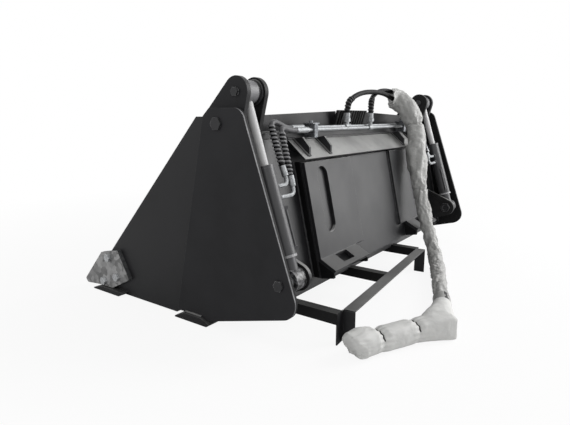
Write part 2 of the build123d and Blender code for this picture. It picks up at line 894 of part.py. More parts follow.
# Cylinder barrels, with a closed floor, a necked base eye, a collar, port bosses and pipe blocks
pipe_angle = math.radians(pipe_turn)
pipe_reach = barrel_diameter / 2 + pipe_offset
for name, side in SIDES:
    inward = -side
    pipe_aim = 180 + pipe_turn if inward < 0 else -pipe_turn
    block_middle = (inward * math.cos(pipe_angle) * pipe_reach / 2, -math.sin(pipe_angle) * pipe_reach / 2)
    with BuildPart() as barrel:
        with BuildSketch(on_rod(side, 0)):
            Circle(neck_diameter / 2)
        extrude(amount=collar_place)
        with BuildSketch(on_rod(side, collar_place)):
            Circle(barrel_diameter / 2)
        extrude(amount=barrel_length - collar_place)
        with BuildSketch(on_rod(side, collar_place)):
            Circle(collar_diameter / 2)
        extrude(amount=collar_length)
        for place in (rod_port_place, base_port_place):
            with BuildSketch(layer(side, port_face_x, cylinder_x)):
                with Locations(on_axis(place)):
                    Circle(port_boss_diameter / 2)
            extrude(amount=cylinder_x - port_face_x)
        for place in (pipe_foot_place, pipe_top_place):
            with BuildSketch(on_rod(side, place)):
                with Locations(Location(block_middle, pipe_aim)):
                    Rectangle(pipe_reach + pipe_block_width, pipe_block_width)
            extrude(amount=pipe_block_length)
        with BuildSketch(eye_sketch_plane(side)):
            with Locations(base_pin):
                Circle(base_eye_diameter / 2)
        extrude(amount=eye_width)
        with BuildSketch(eye_sketch_plane(side)):
            with Locations(base_pin):
                Circle(cylinder_hole)
        extrude(amount=eye_width, mode=Mode.SUBTRACT)
        with BuildSketch(on_rod(side, collar_place + barrel_floor)):
            Circle(barrel_bore / 2)
        extrude(amount=barrel_length - collar_place - barrel_floor, mode=Mode.SUBTRACT)
    keep(f"{name}_barrel", barrel.part)

# Glands that close the barrels round the rods
for name, side in SIDES:
    with BuildPart() as gland:
        with BuildSketch(on_rod(side, barrel_length - gland_depth)):
            Circle(barrel_bore / 2 - running_fit)
        extrude(amount=gland_depth)
        with BuildSketch(on_rod(side, barrel_length)):
            Circle(gland_cap_diameter / 2)
        extrude(amount=gland_cap)
        with BuildSketch(on_rod(side, barrel_length - gland_depth)):
            Circle(rod_diameter / 2 + running_fit)
        extrude(amount=gland_depth + gland_cap, mode=Mode.SUBTRACT)
    keep(f"{name}_gland", gland.part)

# Rods with the piston at the foot and an eye on top, bored with play for the rod pin
for name, side in SIDES:
    with BuildPart() as rod:
        with BuildSketch(on_rod(side, piston_place)):
            Circle(barrel_bore / 2 - running_fit)
        extrude(amount=piston_length)
        with BuildSketch(on_rod(side, piston_place + piston_length)):
            Circle(rod_diameter / 2)
        extrude(amount=rod_reach - piston_place - piston_length)
        with BuildSketch(eye_sketch_plane(side)):
            with Locations(rod_pin):
                Circle(rod_eye_diameter / 2)
        extrude(amount=eye_width)
        with BuildSketch(eye_sketch_plane(side)):
            with Locations(rod_pin):
                Circle(cylinder_pin_diameter / 2 + eye_play)
        extrude(amount=eye_width, mode=Mode.SUBTRACT)
    keep(f"{name}_rod", rod.part)

# Feed tubes along the rail
for name, (tube_y, tube_z) in (("upper_feed_tube", upper_tube), ("lower_feed_tube", lower_tube)):
    with BuildPart() as feed_tube:
        with BuildSketch(Plane.YZ.offset(-tube_half)):
            with Locations((tube_y, tube_z)):
                Circle(tube_diameter / 2)
        extrude(amount=2 * tube_half)
    keep(name, feed_tube.part)

# Twin clamps on the rear of the rail, each with a cap plate and its bolt head
clamp_rear_y = lower_tube[0] - tube_diameter / 2 - clamp_wall
clamp_low_z = back_top_z
clamp_high_z = upper_tube[1] + tube_diameter / 2 + clamp_wall
clamp_depth = rail_rear_y - clamp_rear_y
with BuildPart() as tube_clamps:
    for _, side in SIDES:
        clamp_low_x = clamp_x - clamp_width / 2
        with BuildSketch(layer(side, clamp_low_x, clamp_low_x + clamp_width)):
            with Locations((clamp_rear_y + clamp_depth / 2, (clamp_low_z + clamp_high_z) / 2)):
                Rectangle(clamp_depth, clamp_high_z - clamp_low_z)
            with Locations(upper_tube, lower_tube):
                Circle(tube_diameter / 2 + running_fit, mode=Mode.SUBTRACT)
        extrude(amount=clamp_width)
        with BuildSketch(Plane.XY.offset(clamp_high_z)):
            with Locations((side * clamp_x, clamp_rear_y + clamp_depth / 2)):
                Rectangle(clamp_cap_width, clamp_depth)
        extrude(amount=clamp_cap_thickness)
    with BuildSketch(Plane.XY.offset(clamp_high_z + clamp_cap_thickness)):
        with Locations((0, clamp_rear_y + clamp_depth / 2)):
            with GridLocations(2 * clamp_x, 1, 2, 1):
                RegularPolygon(clamp_bolt_flats / 2, 6, major_radius=False)
    extrude(amount=clamp_bolt_height)
keep("tube_clamps", tube_clamps.part)

# Tees on the feed tubes, each with a branch that rises to a crimped hose end
with BuildPart() as feed_tees:
    for tee_centre_x, (tube_y, tube_z) in ((left_tee_x, upper_tube), (right_tee_x, lower_tube)):
        with BuildSketch(Plane.YZ.offset(tee_centre_x - tee_length / 2)):
            with Locations((tube_y, tube_z)):
                Circle(tee_diameter / 2)
        extrude(amount=tee_length)
        with BuildSketch(Plane.XY.offset(tube_z)):
            with Locations((tee_centre_x, tube_y)):
                Circle(branch_diameter / 2)
        extrude(amount=branch_nut_z - tube_z)
        with BuildSketch(Plane.XY.offset(branch_nut_z)):
            with Locations((tee_centre_x, tube_y)):
                RegularPolygon(branch_nut_flats / 2, 6, major_radius=False)
        extrude(amount=branch_nut_height)
        with BuildSketch(Plane.XY.offset(branch_nut_z + branch_nut_height)):
            with Locations((tee_centre_x, tube_y)):
                Circle(crimp_diameter / 2)
        extrude(amount=crimp_top_z - branch_nut_z - branch_nut_height)
        with BuildSketch(Plane.YZ.offset(tee_centre_x - tee_length / 2)):
            with Locations((tube_y, tube_z)):
                Circle(tube_diameter / 2 + running_fit)
        extrude(amount=tee_length, mode=Mode.SUBTRACT)
keep("feed_tees", feed_tees.part)

# Crimped hose ends on the feed tubes
with BuildPart() as tube_crimps:
    for _, side in SIDES:
        for tube_y, tube_z in (upper_tube, lower_tube):
            with BuildSketch(layer(side, tube_half, tube_half + hose_crimp_length)):
                with Locations((tube_y, tube_z)):
                    Circle(hose_crimp_diameter / 2)
            extrude(amount=hose_crimp_length)
keep("tube_crimps", tube_crimps.part)

# Cylinder hoses and the elbows that take them to the barrels, in (distance from the middle, Y, Z)
crimp_end_x = tube_half + hose_crimp_length


def elbow_points(bend, reach, place):
    """Hose end, crimp end, corner and port face of an elbow, in line with a hose that comes from its last bend."""
    corner = Vector(port_face_x - reach, *on_axis(place))
    heading = (corner - bend).normalized()
    crimp_end = corner - heading * elbow_leg
    return crimp_end - heading * end_crimp_length, crimp_end, corner, Vector(port_face_x, *on_axis(place))


def hose_route(feed_tube, top, last_bend, reach, place):
    """Points of a cylinder hose from its crimp to its elbow, and those of the elbow."""
    crimp_end = Vector(crimp_end_x, *feed_tube)
    bend = crimp_end + Vector(last_bend)
    elbow = elbow_points(bend, reach, place)
    rise = [crimp_end + Vector(point) for point in top]
    points = (crimp_end, crimp_end + Vector(hose_lead, 0, 0), *rise, bend, elbow[0])
    return [tuple(point) for point in points], elbow


rod_hose_route, rod_elbow = hose_route(upper_tube, rod_hose_top, rod_hose_bend, rod_elbow_reach, rod_port_place)
base_hose_route, base_elbow = hose_route(lower_tube, base_hose_top, base_hose_bend, base_elbow_reach, base_port_place)


def on_side(points, side):
    """Points on one side of the bucket, from points given by their distance from the middle."""
    return [(side * x, y, z) for x, y, z in points]


for name, side in SIDES:
    for hose, route in (("rod_hose", rod_hose_route), ("base_hose", base_hose_route)):
        points = on_side(route, side)
        keep(f"{name}_{hose}", tube(points, hose_diameter, arc_radii(points)))

for name, side in SIDES:
    with BuildPart() as elbows:
        for elbow in (rod_elbow, base_elbow):
            hose_end, crimp_end, corner, port = on_side([tuple(point) for point in elbow], side)
            with BuildSketch(Plane(origin=hose_end, z_dir=Vector(crimp_end) - Vector(hose_end))):
                Circle(end_crimp_diameter / 2)
            extrude(amount=end_crimp_length)
            with BuildLine() as bent_path:
                FilletPolyline(crimp_end, corner, port, radius=elbow_radius)
            with BuildSketch(Plane(origin=crimp_end, z_dir=Vector(corner) - Vector(crimp_end))):
                RegularPolygon(elbow_diameter / 2, hose_sides)
            sweep(path=bent_path.line)
        with BuildSketch(on_rod(side, pipe_foot_place + pipe_block_length)):
            with Locations((-side * math.cos(pipe_angle) * pipe_reach, -math.sin(pipe_angle) * pipe_reach)):
                Circle(pipe_diameter / 2)
        extrude(amount=pipe_top_place - pipe_foot_place - pipe_block_length)
    keep(f"{name}_elbows", elbows.part)

# Supply hoses, from the tees up and over into the mouth of the wrapping
supply_starts = ((left_tee_x, upper_tube[0], crimp_top_z), (right_tee_x, lower_tube[0], crimp_top_z))
supply_names = ("left_supply_hose", "right_supply_hose")
for name, start, route in zip(supply_names, supply_starts, supply_routes):
    points = (start, (start[0], start[1], start[2] + supply_lead), *route)
    radii = arc_radii(points)
    print(name, "bend radii", [round(radius) for radius in radii])
    keep(name, tube(points, supply_diameter, radii))

# Padded wrapping round both supply hoses, down the back and along the ground to the bag
wrap_radii = arc_radii(wrap_route)
print("hose_wrap bend radii", [round(radius) for radius in wrap_radii])
keep("hose_wrap", tube(wrap_route, wrap_diameter, wrap_radii))

# Tied bag over the hose ends, lying on the ground, with three full lobes between its ties
bag_line = (Vector(bag_end) - Vector(bag_start)).normalized()
bag_lobe = math.dist(bag_start, bag_end) / 3
lobe_rise = bag_lobe * (1 - bag_flat_share) / 2
bag_rings = [(0, bag_tie_radius)]
for lobe, lobe_end_radius in enumerate((bag_tie_radius, bag_tie_radius, bag_end_radius)):
    bag_rings.append((lobe * bag_lobe + lobe_rise, bag_radius))
    bag_rings.append(((lobe + 1) * bag_lobe - lobe_rise, bag_radius))
    bag_rings.append(((lobe + 1) * bag_lobe, lobe_end_radius))
bag_mouth = Plane(origin=bag_start, x_dir=(0, 0, 1), z_dir=bag_line)
with BuildPart() as coupler_bag:
    for place, ring_radius in bag_rings:
        with BuildSketch(bag_mouth.offset(place)):
            RegularPolygon(ring_radius, bag_sides, rotation=180 / bag_sides)
    loft(ruled=True)
keep("coupler_bag", coupler_bag.part)

# Shipping stand: a skewed flat beam on two angle posts, and angle bars that reach forward under the heel
stand_turn = math.radians(stand_skew)
stand_along = Vector(math.cos(stand_turn), math.sin(stand_turn), 0)
stand_forward = Vector(-math.sin(stand_turn), math.cos(stand_turn), 0)
beam_low_z = stand_top_z - angle_wall
beam_corner = Vector(stand_left_x, stand_rear_y, beam_low_z)
beam_length = (stand_right_x - stand_left_x) / math.cos(stand_turn)
with BuildPart() as stand_beam:
    with BuildSketch(Plane(origin=beam_corner, x_dir=stand_along, z_dir=(0, 0, 1))):
        Rectangle(beam_length, beam_width, align=(Align.MIN, Align.MIN))
    extrude(amount=angle_wall)
keep("stand_beam", stand_beam.part)

with BuildPart() as stand_legs:
    for reach, outward in ((angle_wall, -1), (beam_length - angle_wall, 1)):
        corner = beam_corner + stand_along * reach + stand_forward * post_leg
        with BuildSketch(Plane(origin=(corner.X, corner.Y, 0), x_dir=stand_along, z_dir=(0, 0, 1))):
            with BuildLine():
                Polyline(
                    (0, 0),
                    (outward * post_leg, 0),
                    (outward * post_leg, -angle_wall),
                    (outward * angle_wall, -angle_wall),
                    (outward * angle_wall, -post_leg),
                    (0, -post_leg),
                    close=True,
                )
            make_face()
        extrude(amount=beam_low_z)
keep("stand_legs", stand_legs.part)

with BuildPart() as stand_bars:
    for place in bar_places:
        with BuildSketch(Plane(origin=(place, rear_edge_back_y, stand_top_z), x_dir=(1, 0, 0), z_dir=(0, -1, 0))):
            with BuildLine():
                Polyline(
                    (0, 0),
                    (bar_leg, 0),
                    (bar_leg, -angle_wall),
                    (angle_wall, -angle_wall),
                    (angle_wall, -bar_leg),
                    (0, -bar_leg),
                    close=True,
                )
            make_face()
        extrude(amount=rear_edge_back_y - stand_rear_y)
    split(bisect_by=Plane(beam_corner + stand_forward * beam_width, z_dir=stand_forward), keep=Keep.TOP)
    with BuildSketch(Plane.YZ.offset(bar_places[0])):
        with BuildLine():
            Polyline(
                (back_rear_y(stand_top_z), stand_top_z),
                (heel_y, heel_z),
                floor_heel,
                rear_edge_top_back,
                (rear_edge_top_back[0], stand_top_z),
                close=True,
            )
        make_face()
    extrude(amount=bar_places[-1] + bar_leg - bar_places[0], mode=Mode.SUBTRACT)
keep("stand_bars", stand_bars.part)
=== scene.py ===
import json
import math
from bisect import bisect_right

import bpy
import bmesh
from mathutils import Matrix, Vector, bvhtree, kdtree, noise


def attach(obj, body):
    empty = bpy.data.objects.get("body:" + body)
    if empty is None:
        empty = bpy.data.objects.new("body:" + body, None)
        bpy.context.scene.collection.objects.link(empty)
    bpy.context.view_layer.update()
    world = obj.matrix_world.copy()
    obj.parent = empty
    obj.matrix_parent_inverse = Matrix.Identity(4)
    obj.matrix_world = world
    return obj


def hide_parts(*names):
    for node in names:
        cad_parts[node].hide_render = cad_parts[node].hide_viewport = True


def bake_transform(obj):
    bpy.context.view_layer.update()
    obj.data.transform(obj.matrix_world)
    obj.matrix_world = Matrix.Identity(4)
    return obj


# Combination bucket on its shipping stand: finishes, hoses, wrapping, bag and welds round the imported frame.
# Lengths are in metres and the frame is the part's own: +X operator's right, +Y forward, +Z up, ground at Z = 0.

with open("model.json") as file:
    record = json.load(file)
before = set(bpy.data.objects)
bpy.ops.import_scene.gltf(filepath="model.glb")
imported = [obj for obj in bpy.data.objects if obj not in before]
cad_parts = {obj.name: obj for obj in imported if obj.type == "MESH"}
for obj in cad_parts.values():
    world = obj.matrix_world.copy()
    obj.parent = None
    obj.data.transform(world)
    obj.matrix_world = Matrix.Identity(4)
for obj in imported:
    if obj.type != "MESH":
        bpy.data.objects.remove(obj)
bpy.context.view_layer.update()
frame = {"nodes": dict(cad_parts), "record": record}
nodes = frame["nodes"]
scene = bpy.context.scene
SIDES = (("left", -1), ("right", 1))
UP = Vector((0.0, 0.0, 1.0))
FORWARD = Vector((0.0, 1.0, 0.0))
RIGHT = Vector((1.0, 0.0, 0.0))


# Camera where the photograph was taken from: level horizon, 30 mm lens on a 36 mm frame
camera = bpy.data.objects.new("camera", bpy.data.cameras.new("camera"))
camera.data.lens = 30.126
camera.data.sensor_width = 36.0
camera.location = (-2.095, -1.34857, 0.76739)
camera.rotation_mode = "QUATERNION"
camera.rotation_quaternion = Vector((0.7952, 0.5737, -0.1963)).to_track_quat("-Z", "Y")
scene.collection.objects.link(camera)
scene.camera = camera


def place(name, mesh):
    """New object for a finished mesh or curve."""
    piece = bpy.data.objects.new(name, mesh)
    scene.collection.objects.link(piece)
    return piece


# Routes


def smooth_curve(name, route):
    """Curve of one open spline, smooth, with a route's points as its control points."""
    curve = bpy.data.curves.new(name, "CURVE")
    curve.dimensions = "3D"
    curve.resolution_u = 20
    spline = curve.splines.new("NURBS")
    spline.points.add(len(route) - 1)
    for point, spot in zip(spline.points, route):
        point.co = (*spot, 1.0)
    spline.order_u = 3
    spline.use_endpoint_u = True
    return curve


def smooth_line(route):
    """Points read along the smooth curve of a route."""
    holder = bpy.data.objects.new("line", smooth_curve("line", route))
    mesh = bpy.data.meshes.new_from_object(holder)
    points = [vertex.co.copy() for vertex in mesh.vertices]
    bpy.data.meshes.remove(mesh)
    bpy.data.objects.remove(holder)
    return points


class Line:
    """A smooth line that can be asked for its point and its two cross directions at a distance along it."""

    def __init__(self, points):
        self.points = points
        self.reach = [0.0]
        for start, end in zip(points, points[1:]):
            self.reach.append(self.reach[-1] + (end - start).length)
        self.length = self.reach[-1]
        tangents = [(b - a).normalized() for a, b in zip(points, points[1:])]
        tangents.append(tangents[-1].copy())
        side = tangents[0].cross(UP)
        # A line that starts upright takes its side from X
        if side.length < 0.1:
            side = tangents[0].cross(RIGHT)
        self.frames = []
        for tangent in tangents:
            side = (side - tangent * side.dot(tangent)).normalized()
            self.frames.append((tangent, side.copy(), side.cross(tangent).normalized()))

    def at(self, distance):
        """Point, tangent and two cross directions at a distance along the line."""
        distance = min(max(distance, 0.0), self.length)
        high = min(bisect_right(self.reach, distance), len(self.reach) - 1)
        low = high - 1
        span = self.reach[high] - self.reach[low]
        share = (distance - self.reach[low]) / span if span > 0 else 0.0
        point = self.points[low].lerp(self.points[high], share)
        directions = [a.lerp(b, share).normalized() for a, b in zip(self.frames[low], self.frames[high])]
        return point, *directions


def turns(count):
    """Angles of a number of points spaced evenly round a ring."""
    return [2 * math.pi * i / count for i in range(count)]


def swung(first, second, angle):
    """Direction swung by an angle from one direction towards another."""
    return first * math.cos(angle) + second * math.sin(angle)


def tube_mesh(name, *tubes, closed=False):
    """Mesh of tubes, each skinned over its own rings of points, with capped ends or closed round into a loop."""
    shape = bmesh.new()
    for rings in tubes:
        rows = [[shape.verts.new(point) for point in ring] for ring in rings]
        if closed:
            rows.append(rows[0])
        for low, high in zip(rows, rows[1:]):
            for i in range(len(low)):
                j = (i + 1) % len(low)
                shape.faces.new((low[i], low[j], high[j], high[i]))
        if not closed:
            shape.faces.new(rows[0])
            shape.faces.new(rows[-1])
    bmesh.ops.recalc_face_normals(shape, faces=shape.faces)
    mesh = bpy.data.meshes.new(name)
    shape.to_mesh(mesh)
    shape.free()
    mesh.shade_smooth()
    return mesh


# Finishes


def linear(value):
    """Linear colour from an sRGB hex value."""
    channels = [int(value[i : i + 2], 16) / 255 for i in (0, 2, 4)]
    return [c / 12.92 if c <= 0.04045 else ((c + 0.055) / 1.055) ** 2.4 for c in channels] + [1.0]


def feed(tree, socket, value):
    """Sets an input socket to a value, or links it from an output socket or from a node's first output in use."""
    if isinstance(value, bpy.types.Node):
        value = next(output for output in value.outputs if output.enabled)
    if isinstance(value, bpy.types.NodeSocket):
        tree.links.new(value, socket)
    else:
        socket.default_value = value


def add(tree, kind, inputs=None, **settings):
    """Adds one shader node, with its settings and what its inputs are fed."""
    node = tree.nodes.new(f"ShaderNode{kind}")
    for name, value in settings.items():
        setattr(node, name, value)
    for name, value in (inputs or {}).items():
        feed(tree, node.inputs[name], value)
    return node


def new_finish(name):
    """Empty node material with its surface shader, and the place of each point in metres."""
    material = bpy.data.materials.new(name)
    material.use_nodes = True
    tree = material.node_tree
    shader = tree.nodes["Principled BSDF"]
    where = add(tree, "TexCoord").outputs["Object"]
    return material, tree, shader, where


def wire(tree, shader, colour, rough, bump):
    """Links the nodes of a finish's colour, roughness and bump to its shader."""
    for name, node in (("Base Color", colour), ("Roughness", rough), ("Normal", bump)):
        feed(tree, shader.inputs[name], node)


def enamel(name, colour, worn, gloss, specular, dust):
    """Sprayed enamel on plate: dark, blotchy in its gloss, with a faint peel, paler rubbed edges, and tops made paler
    by dust and painted top light.
    """
    material, tree, shader, where = new_finish(name)
    # Smears and dust in patches about 180 mm across, and spray mottle about 25 mm across
    patches = add(tree, "TexNoise", {"Vector": where, "Scale": 5.5, "Detail": 4.0, "Roughness": 0.6})
    mottle = add(tree, "TexNoise", {"Vector": where, "Scale": 40.0, "Detail": 3.0})
    # Orange peel about 4 mm across
    peel = add(tree, "TexNoise", {"Vector": where, "Scale": 250.0, "Detail": 2.0})
    # Edges within 3 mm of a corner, broken up so that only stretches of them are rubbed
    soft = add(tree, "Bevel", {"Radius": 0.003}, samples=4)
    flat = add(tree, "NewGeometry").outputs["True Normal"]
    turn = add(tree, "VectorMath", {0: soft, 1: flat}, operation="DOT_PRODUCT")
    edge = add(tree, "MapRange", {"Value": turn, "From Min": 0.97, "From Max": 0.8})
    broken = add(tree, "MapRange", {"Value": mottle, "From Min": 0.42, "From Max": 0.62, "To Max": 0.55})
    rub = add(tree, "Math", {0: edge, 1: broken}, operation="MULTIPLY")
    tone = add(tree, "MapRange", {"Value": patches, "From Min": 0.3, "From Max": 0.7, "To Min": 0.82, "To Max": 1.2})
    base = add(tree, "Mix", {"Factor": 1.0, "A": linear(colour), "B": tone}, data_type="RGBA", blend_type="MULTIPLY")
    # Film on the faces that are turned up, partly dust and partly painted top light
    facing = add(tree, "SeparateXYZ", {"Vector": add(tree, "TexCoord").outputs["Normal"]})
    top_dust_and_light = add(tree, "MapRange", {"Value": facing.outputs["Z"], "From Min": 0.3, "From Max": 0.95, "To Max": dust})
    drift = add(tree, "MapRange", {"Value": patches, "From Min": 0.35, "From Max": 0.65, "To Min": 0.7, "To Max": 1.15})
    film = add(tree, "Math", {0: top_dust_and_light, 1: drift}, operation="MULTIPLY")
    # Enamel under its film of dust and painted top light
    dusty = add(tree, "Mix", {"Factor": film, "A": base, "B": linear("c8c8c6")}, data_type="RGBA")
    shown = add(tree, "Mix", {"Factor": rub, "A": dusty, "B": linear(worn)}, data_type="RGBA")
    rough = add(
        tree,
        "MapRange",
        {"Value": patches, "From Min": 0.25, "From Max": 0.75, "To Min": gloss - 0.07, "To Max": gloss + 0.1},
    )
    bump = add(tree, "Bump", {"Strength": 0.12, "Distance": 0.0006, "Height": peel})
    wire(tree, shader, shown, rough, bump)
    shader.inputs["Specular IOR Level"].default_value = specular
    return material


def plated_steel(name, light, dark, grain, rough_low, rough_high):
    """Zinc or galvanising on steel: bright metal with a fine grain and dulled patches."""
    material, tree, shader, where = new_finish(name)
    # Spangle or plating grain, with cells of the given size
    cells = add(tree, "TexVoronoi", {"Vector": where, "Scale": 1.0 / grain})
    cloud = add(tree, "TexNoise", {"Vector": where, "Scale": 0.35 / grain, "Detail": 4.0})
    mixed = add(
        tree, "Mix", {"Factor": 0.5, "A": cells.outputs["Color"], "B": cloud.outputs["Color"]}, data_type="RGBA"
    )
    value = add(tree, "SeparateColor", {"Color": mixed})
    ramp = add(tree, "MapRange", {"Value": value.outputs["Red"], "From Min": 0.25, "From Max": 0.75})
    colour = add(tree, "Mix", {"Factor": ramp, "A": linear(dark), "B": linear(light)}, data_type="RGBA")
    rough = add(
        tree,
        "MapRange",
        {"Value": value.outputs["Green"], "From Min": 0.2, "From Max": 0.8, "To Min": rough_low, "To Max": rough_high},
    )
    bump = add(tree, "Bump", {"Strength": 0.1, "Distance": 0.0004, "Height": cloud})
    wire(tree, shader, colour, rough, bump)
    shader.inputs["Metallic"].default_value = 1.0
    return material


def hose_cover(name, dark, dusty, specular):
    """Black synthetic rubber, cured in a cloth wrap that leaves a fine cross-ribbed print, dusty in patches."""
    material, tree, shader, where = new_finish(name)
    # Wrap print about 2.5 mm wide, coarser than the real 1 mm so that it shows
    print_lines = add(tree, "TexWave", {"Vector": where, "Scale": 60.0, "Distortion": 1.5, "Detail": 1.0})
    dust = add(tree, "TexNoise", {"Vector": where, "Scale": 18.0, "Detail": 5.0})
    colour = add(tree, "Mix", {"Factor": dust, "A": linear(dark), "B": linear(dusty)}, data_type="RGBA")
    rough = add(tree, "MapRange", {"Value": dust, "To Min": 0.34, "To Max": 0.62})
    bump = add(tree, "Bump", {"Strength": 0.25, "Distance": 0.0004, "Height": print_lines.outputs["Fac"]})
    wire(tree, shader, colour, rough, bump)
    shader.inputs["Specular IOR Level"].default_value = specular
    return material


def crinkled_sheet(name, light, shade, crease, sheen_rough):
    """Thin polyethylene sheet: pale and milky, with crumpled facets and fine creases that scatter its soft gloss."""
    material, tree, shader, where = new_finish(name)
    warp = add(tree, "TexNoise", {"Vector": where, "Scale": 14.0, "Detail": 3.0})
    bent = add(tree, "Mix", {"Factor": 0.12, "A": where, "B": warp.outputs["Color"]}, data_type="VECTOR")
    # Crumple facets with edges a few centimetres apart, and finer creases between them
    facets = add(
        tree, "TexVoronoi", {"Vector": bent, "Scale": 1.0 / crease}, feature="DISTANCE_TO_EDGE"
    )
    fine = add(tree, "TexNoise", {"Vector": where, "Scale": 4.0 / crease, "Detail": 5.0, "Roughness": 0.65})
    ridge = add(tree, "MapRange", {"Value": facets, "From Max": 0.25, "To Min": 1.0, "To Max": 0.0})
    height = add(tree, "Math", {0: ridge, 1: fine}, operation="ADD")
    colour = add(tree, "Mix", {"Factor": fine, "A": linear(shade), "B": linear(light)}, data_type="RGBA")
    rough = add(tree, "MapRange", {"Value": fine, "To Min": sheen_rough - 0.1, "To Max": sheen_rough + 0.12})
    bump = add(tree, "Bump", {"Strength": 0.35, "Distance": 0.002, "Height": height})
    wire(tree, shader, colour, rough, bump)
    shader.inputs["Subsurface Weight"].default_value = 0.15
    shader.inputs["Subsurface Radius"].default_value = (0.01, 0.01, 0.01)
    return material


# Rod pin and base pin at rest as (Y, Z), the line between them, and how far round the rod pin the eye is painted
ROD_PIN = (-0.274, 0.850)
BASE_PIN = (-0.472, 0.229)
ROD_LINE = (0.3038, 0.9527)
EYE_PAINT = 0.0405


def chromed_rod():
    """Hard chrome under a milky film of shipping wax, with a rod eye sprayed grey round its pin."""
    material, tree, shader, where = new_finish("hard_chrome_rod")
    # Fine grinding lines round the rod about 2 mm apart, coarser than the real ones so that they show
    lines = add(tree, "TexNoise", {"Vector": where, "Scale": 500.0, "Detail": 1.0})
    spots = add(tree, "TexNoise", {"Vector": where, "Scale": 30.0, "Detail": 3.0})
    # Distance from the rod pin's line, which runs along X
    flat = add(tree, "VectorMath", {0: where, 1: (0.0, 1.0, 1.0)}, operation="MULTIPLY")
    from_pin = add(tree, "VectorMath", {0: flat, 1: (0.0, *ROD_PIN)}, operation="DISTANCE")
    bare = add(tree, "MapRange", {"Value": from_pin, "From Min": EYE_PAINT, "From Max": EYE_PAINT + 0.001})
    chrome = add(tree, "Mix", {"Factor": spots, "A": linear("bebebe"), "B": linear("cacaca")}, data_type="RGBA")
    spray = add(tree, "Mix", {"Factor": spots, "A": linear("5c5c5e"), "B": linear("747476")}, data_type="RGBA")
    colour = add(tree, "Mix", {"Factor": bare, "A": spray, "B": chrome}, data_type="RGBA")
    rough = add(tree, "MapRange", {"Value": bare, "To Min": 0.45, "To Max": 0.72})
    bump = add(tree, "Bump", {"Strength": 0.05, "Distance": 0.0002, "Height": lines})
    wire(tree, shader, colour, rough, bump)
    # The wax hides most of the metal's own shine
    metal = add(tree, "MapRange", {"Value": bare, "To Max": 0.15})
    feed(tree, shader.inputs["Metallic"], metal)
    return material


def cover(material, mask, dark, light, grain, rough):
    """Covers a finish, where a mask is 1, with a coat of two shades in blotches of a given size."""
    tree = material.node_tree
    shader = tree.nodes["Principled BSDF"]
    where = add(tree, "TexCoord").outputs["Object"]
    cloud = add(tree, "TexNoise", {"Vector": where, "Scale": 1.0 / grain, "Detail": 4.0})
    blotch = add(tree, "MapRange", {"Value": cloud, "From Min": 0.45, "From Max": 0.65})
    coat = add(tree, "Mix", {"Factor": blotch, "A": linear(dark), "B": linear(light)}, data_type="RGBA")
    below = shader.inputs["Base Color"].links[0].from_socket
    shown = add(tree, "Mix", {"Factor": mask, "A": below, "B": coat}, data_type="RGBA")
    rough_below = shader.inputs["Roughness"].links[0].from_socket
    rough_shown = add(tree, "Mix", {"Factor": mask, "A": rough_below, "B": rough})
    feed(tree, shader.inputs["Base Color"], shown)
    feed(tree, shader.inputs["Roughness"], rough_shown)
    if shader.inputs["Metallic"].default_value == 1.0:
        bare = add(tree, "Math", {0: 1.0, 1: mask}, operation="SUBTRACT")
        feed(tree, shader.inputs["Metallic"], bare)


def barrel_mask(material, measure, low, high):
    """Mask that is 1 between two readings of a distance: from the base pin, or along the barrel from it."""
    tree = material.node_tree
    where = add(tree, "TexCoord").outputs["Object"]
    flat = add(tree, "VectorMath", {0: where, 1: (0.0, 1.0, 1.0)}, operation="MULTIPLY")
    off = add(tree, "VectorMath", {0: flat, 1: (0.0, *BASE_PIN)}, operation="SUBTRACT")
    if measure == "round the pin":
        reading = add(tree, "VectorMath", {0: off}, operation="LENGTH")
    else:
        reading = add(tree, "VectorMath", {0: off, 1: (0.0, *ROD_LINE)}, operation="DOT_PRODUCT")
    over = add(tree, "Math", {0: reading, 1: low}, operation="GREATER_THAN")
    under = add(tree, "Math", {0: reading, 1: high}, operation="LESS_THAN")
    return add(tree, "Math", {0: over, 1: under}, operation="MULTIPLY")


def across_mask(material, output, low, high):
    """Mask that fades in between two sizes of the X reading of a place or of a normal."""
    tree = material.node_tree
    axes = add(tree, "SeparateXYZ", {"Vector": add(tree, "TexCoord").outputs[output]})
    size = add(tree, "Math", {0: axes.outputs["X"]}, operation="ABSOLUTE")
    return add(tree, "MapRange", {"Value": size, "From Min": low, "From Max": high})


def ledge_mask(material, height):
    """Mask that is 1 on faces that are turned up and lie above a height."""
    tree = material.node_tree
    coordinates = add(tree, "TexCoord")
    facing = add(tree, "SeparateXYZ", {"Vector": coordinates.outputs["Normal"]})
    where = add(tree, "SeparateXYZ", {"Vector": coordinates.outputs["Object"]})
    top_dust_and_light = add(tree, "MapRange", {"Value": facing.outputs["Z"], "From Min": 0.4, "From Max": 0.7})
    over = add(tree, "Math", {0: where.outputs["Z"], 1: height}, operation="GREATER_THAN")
    return add(tree, "Math", {0: top_dust_and_light, 1: over}, operation="MULTIPLY")
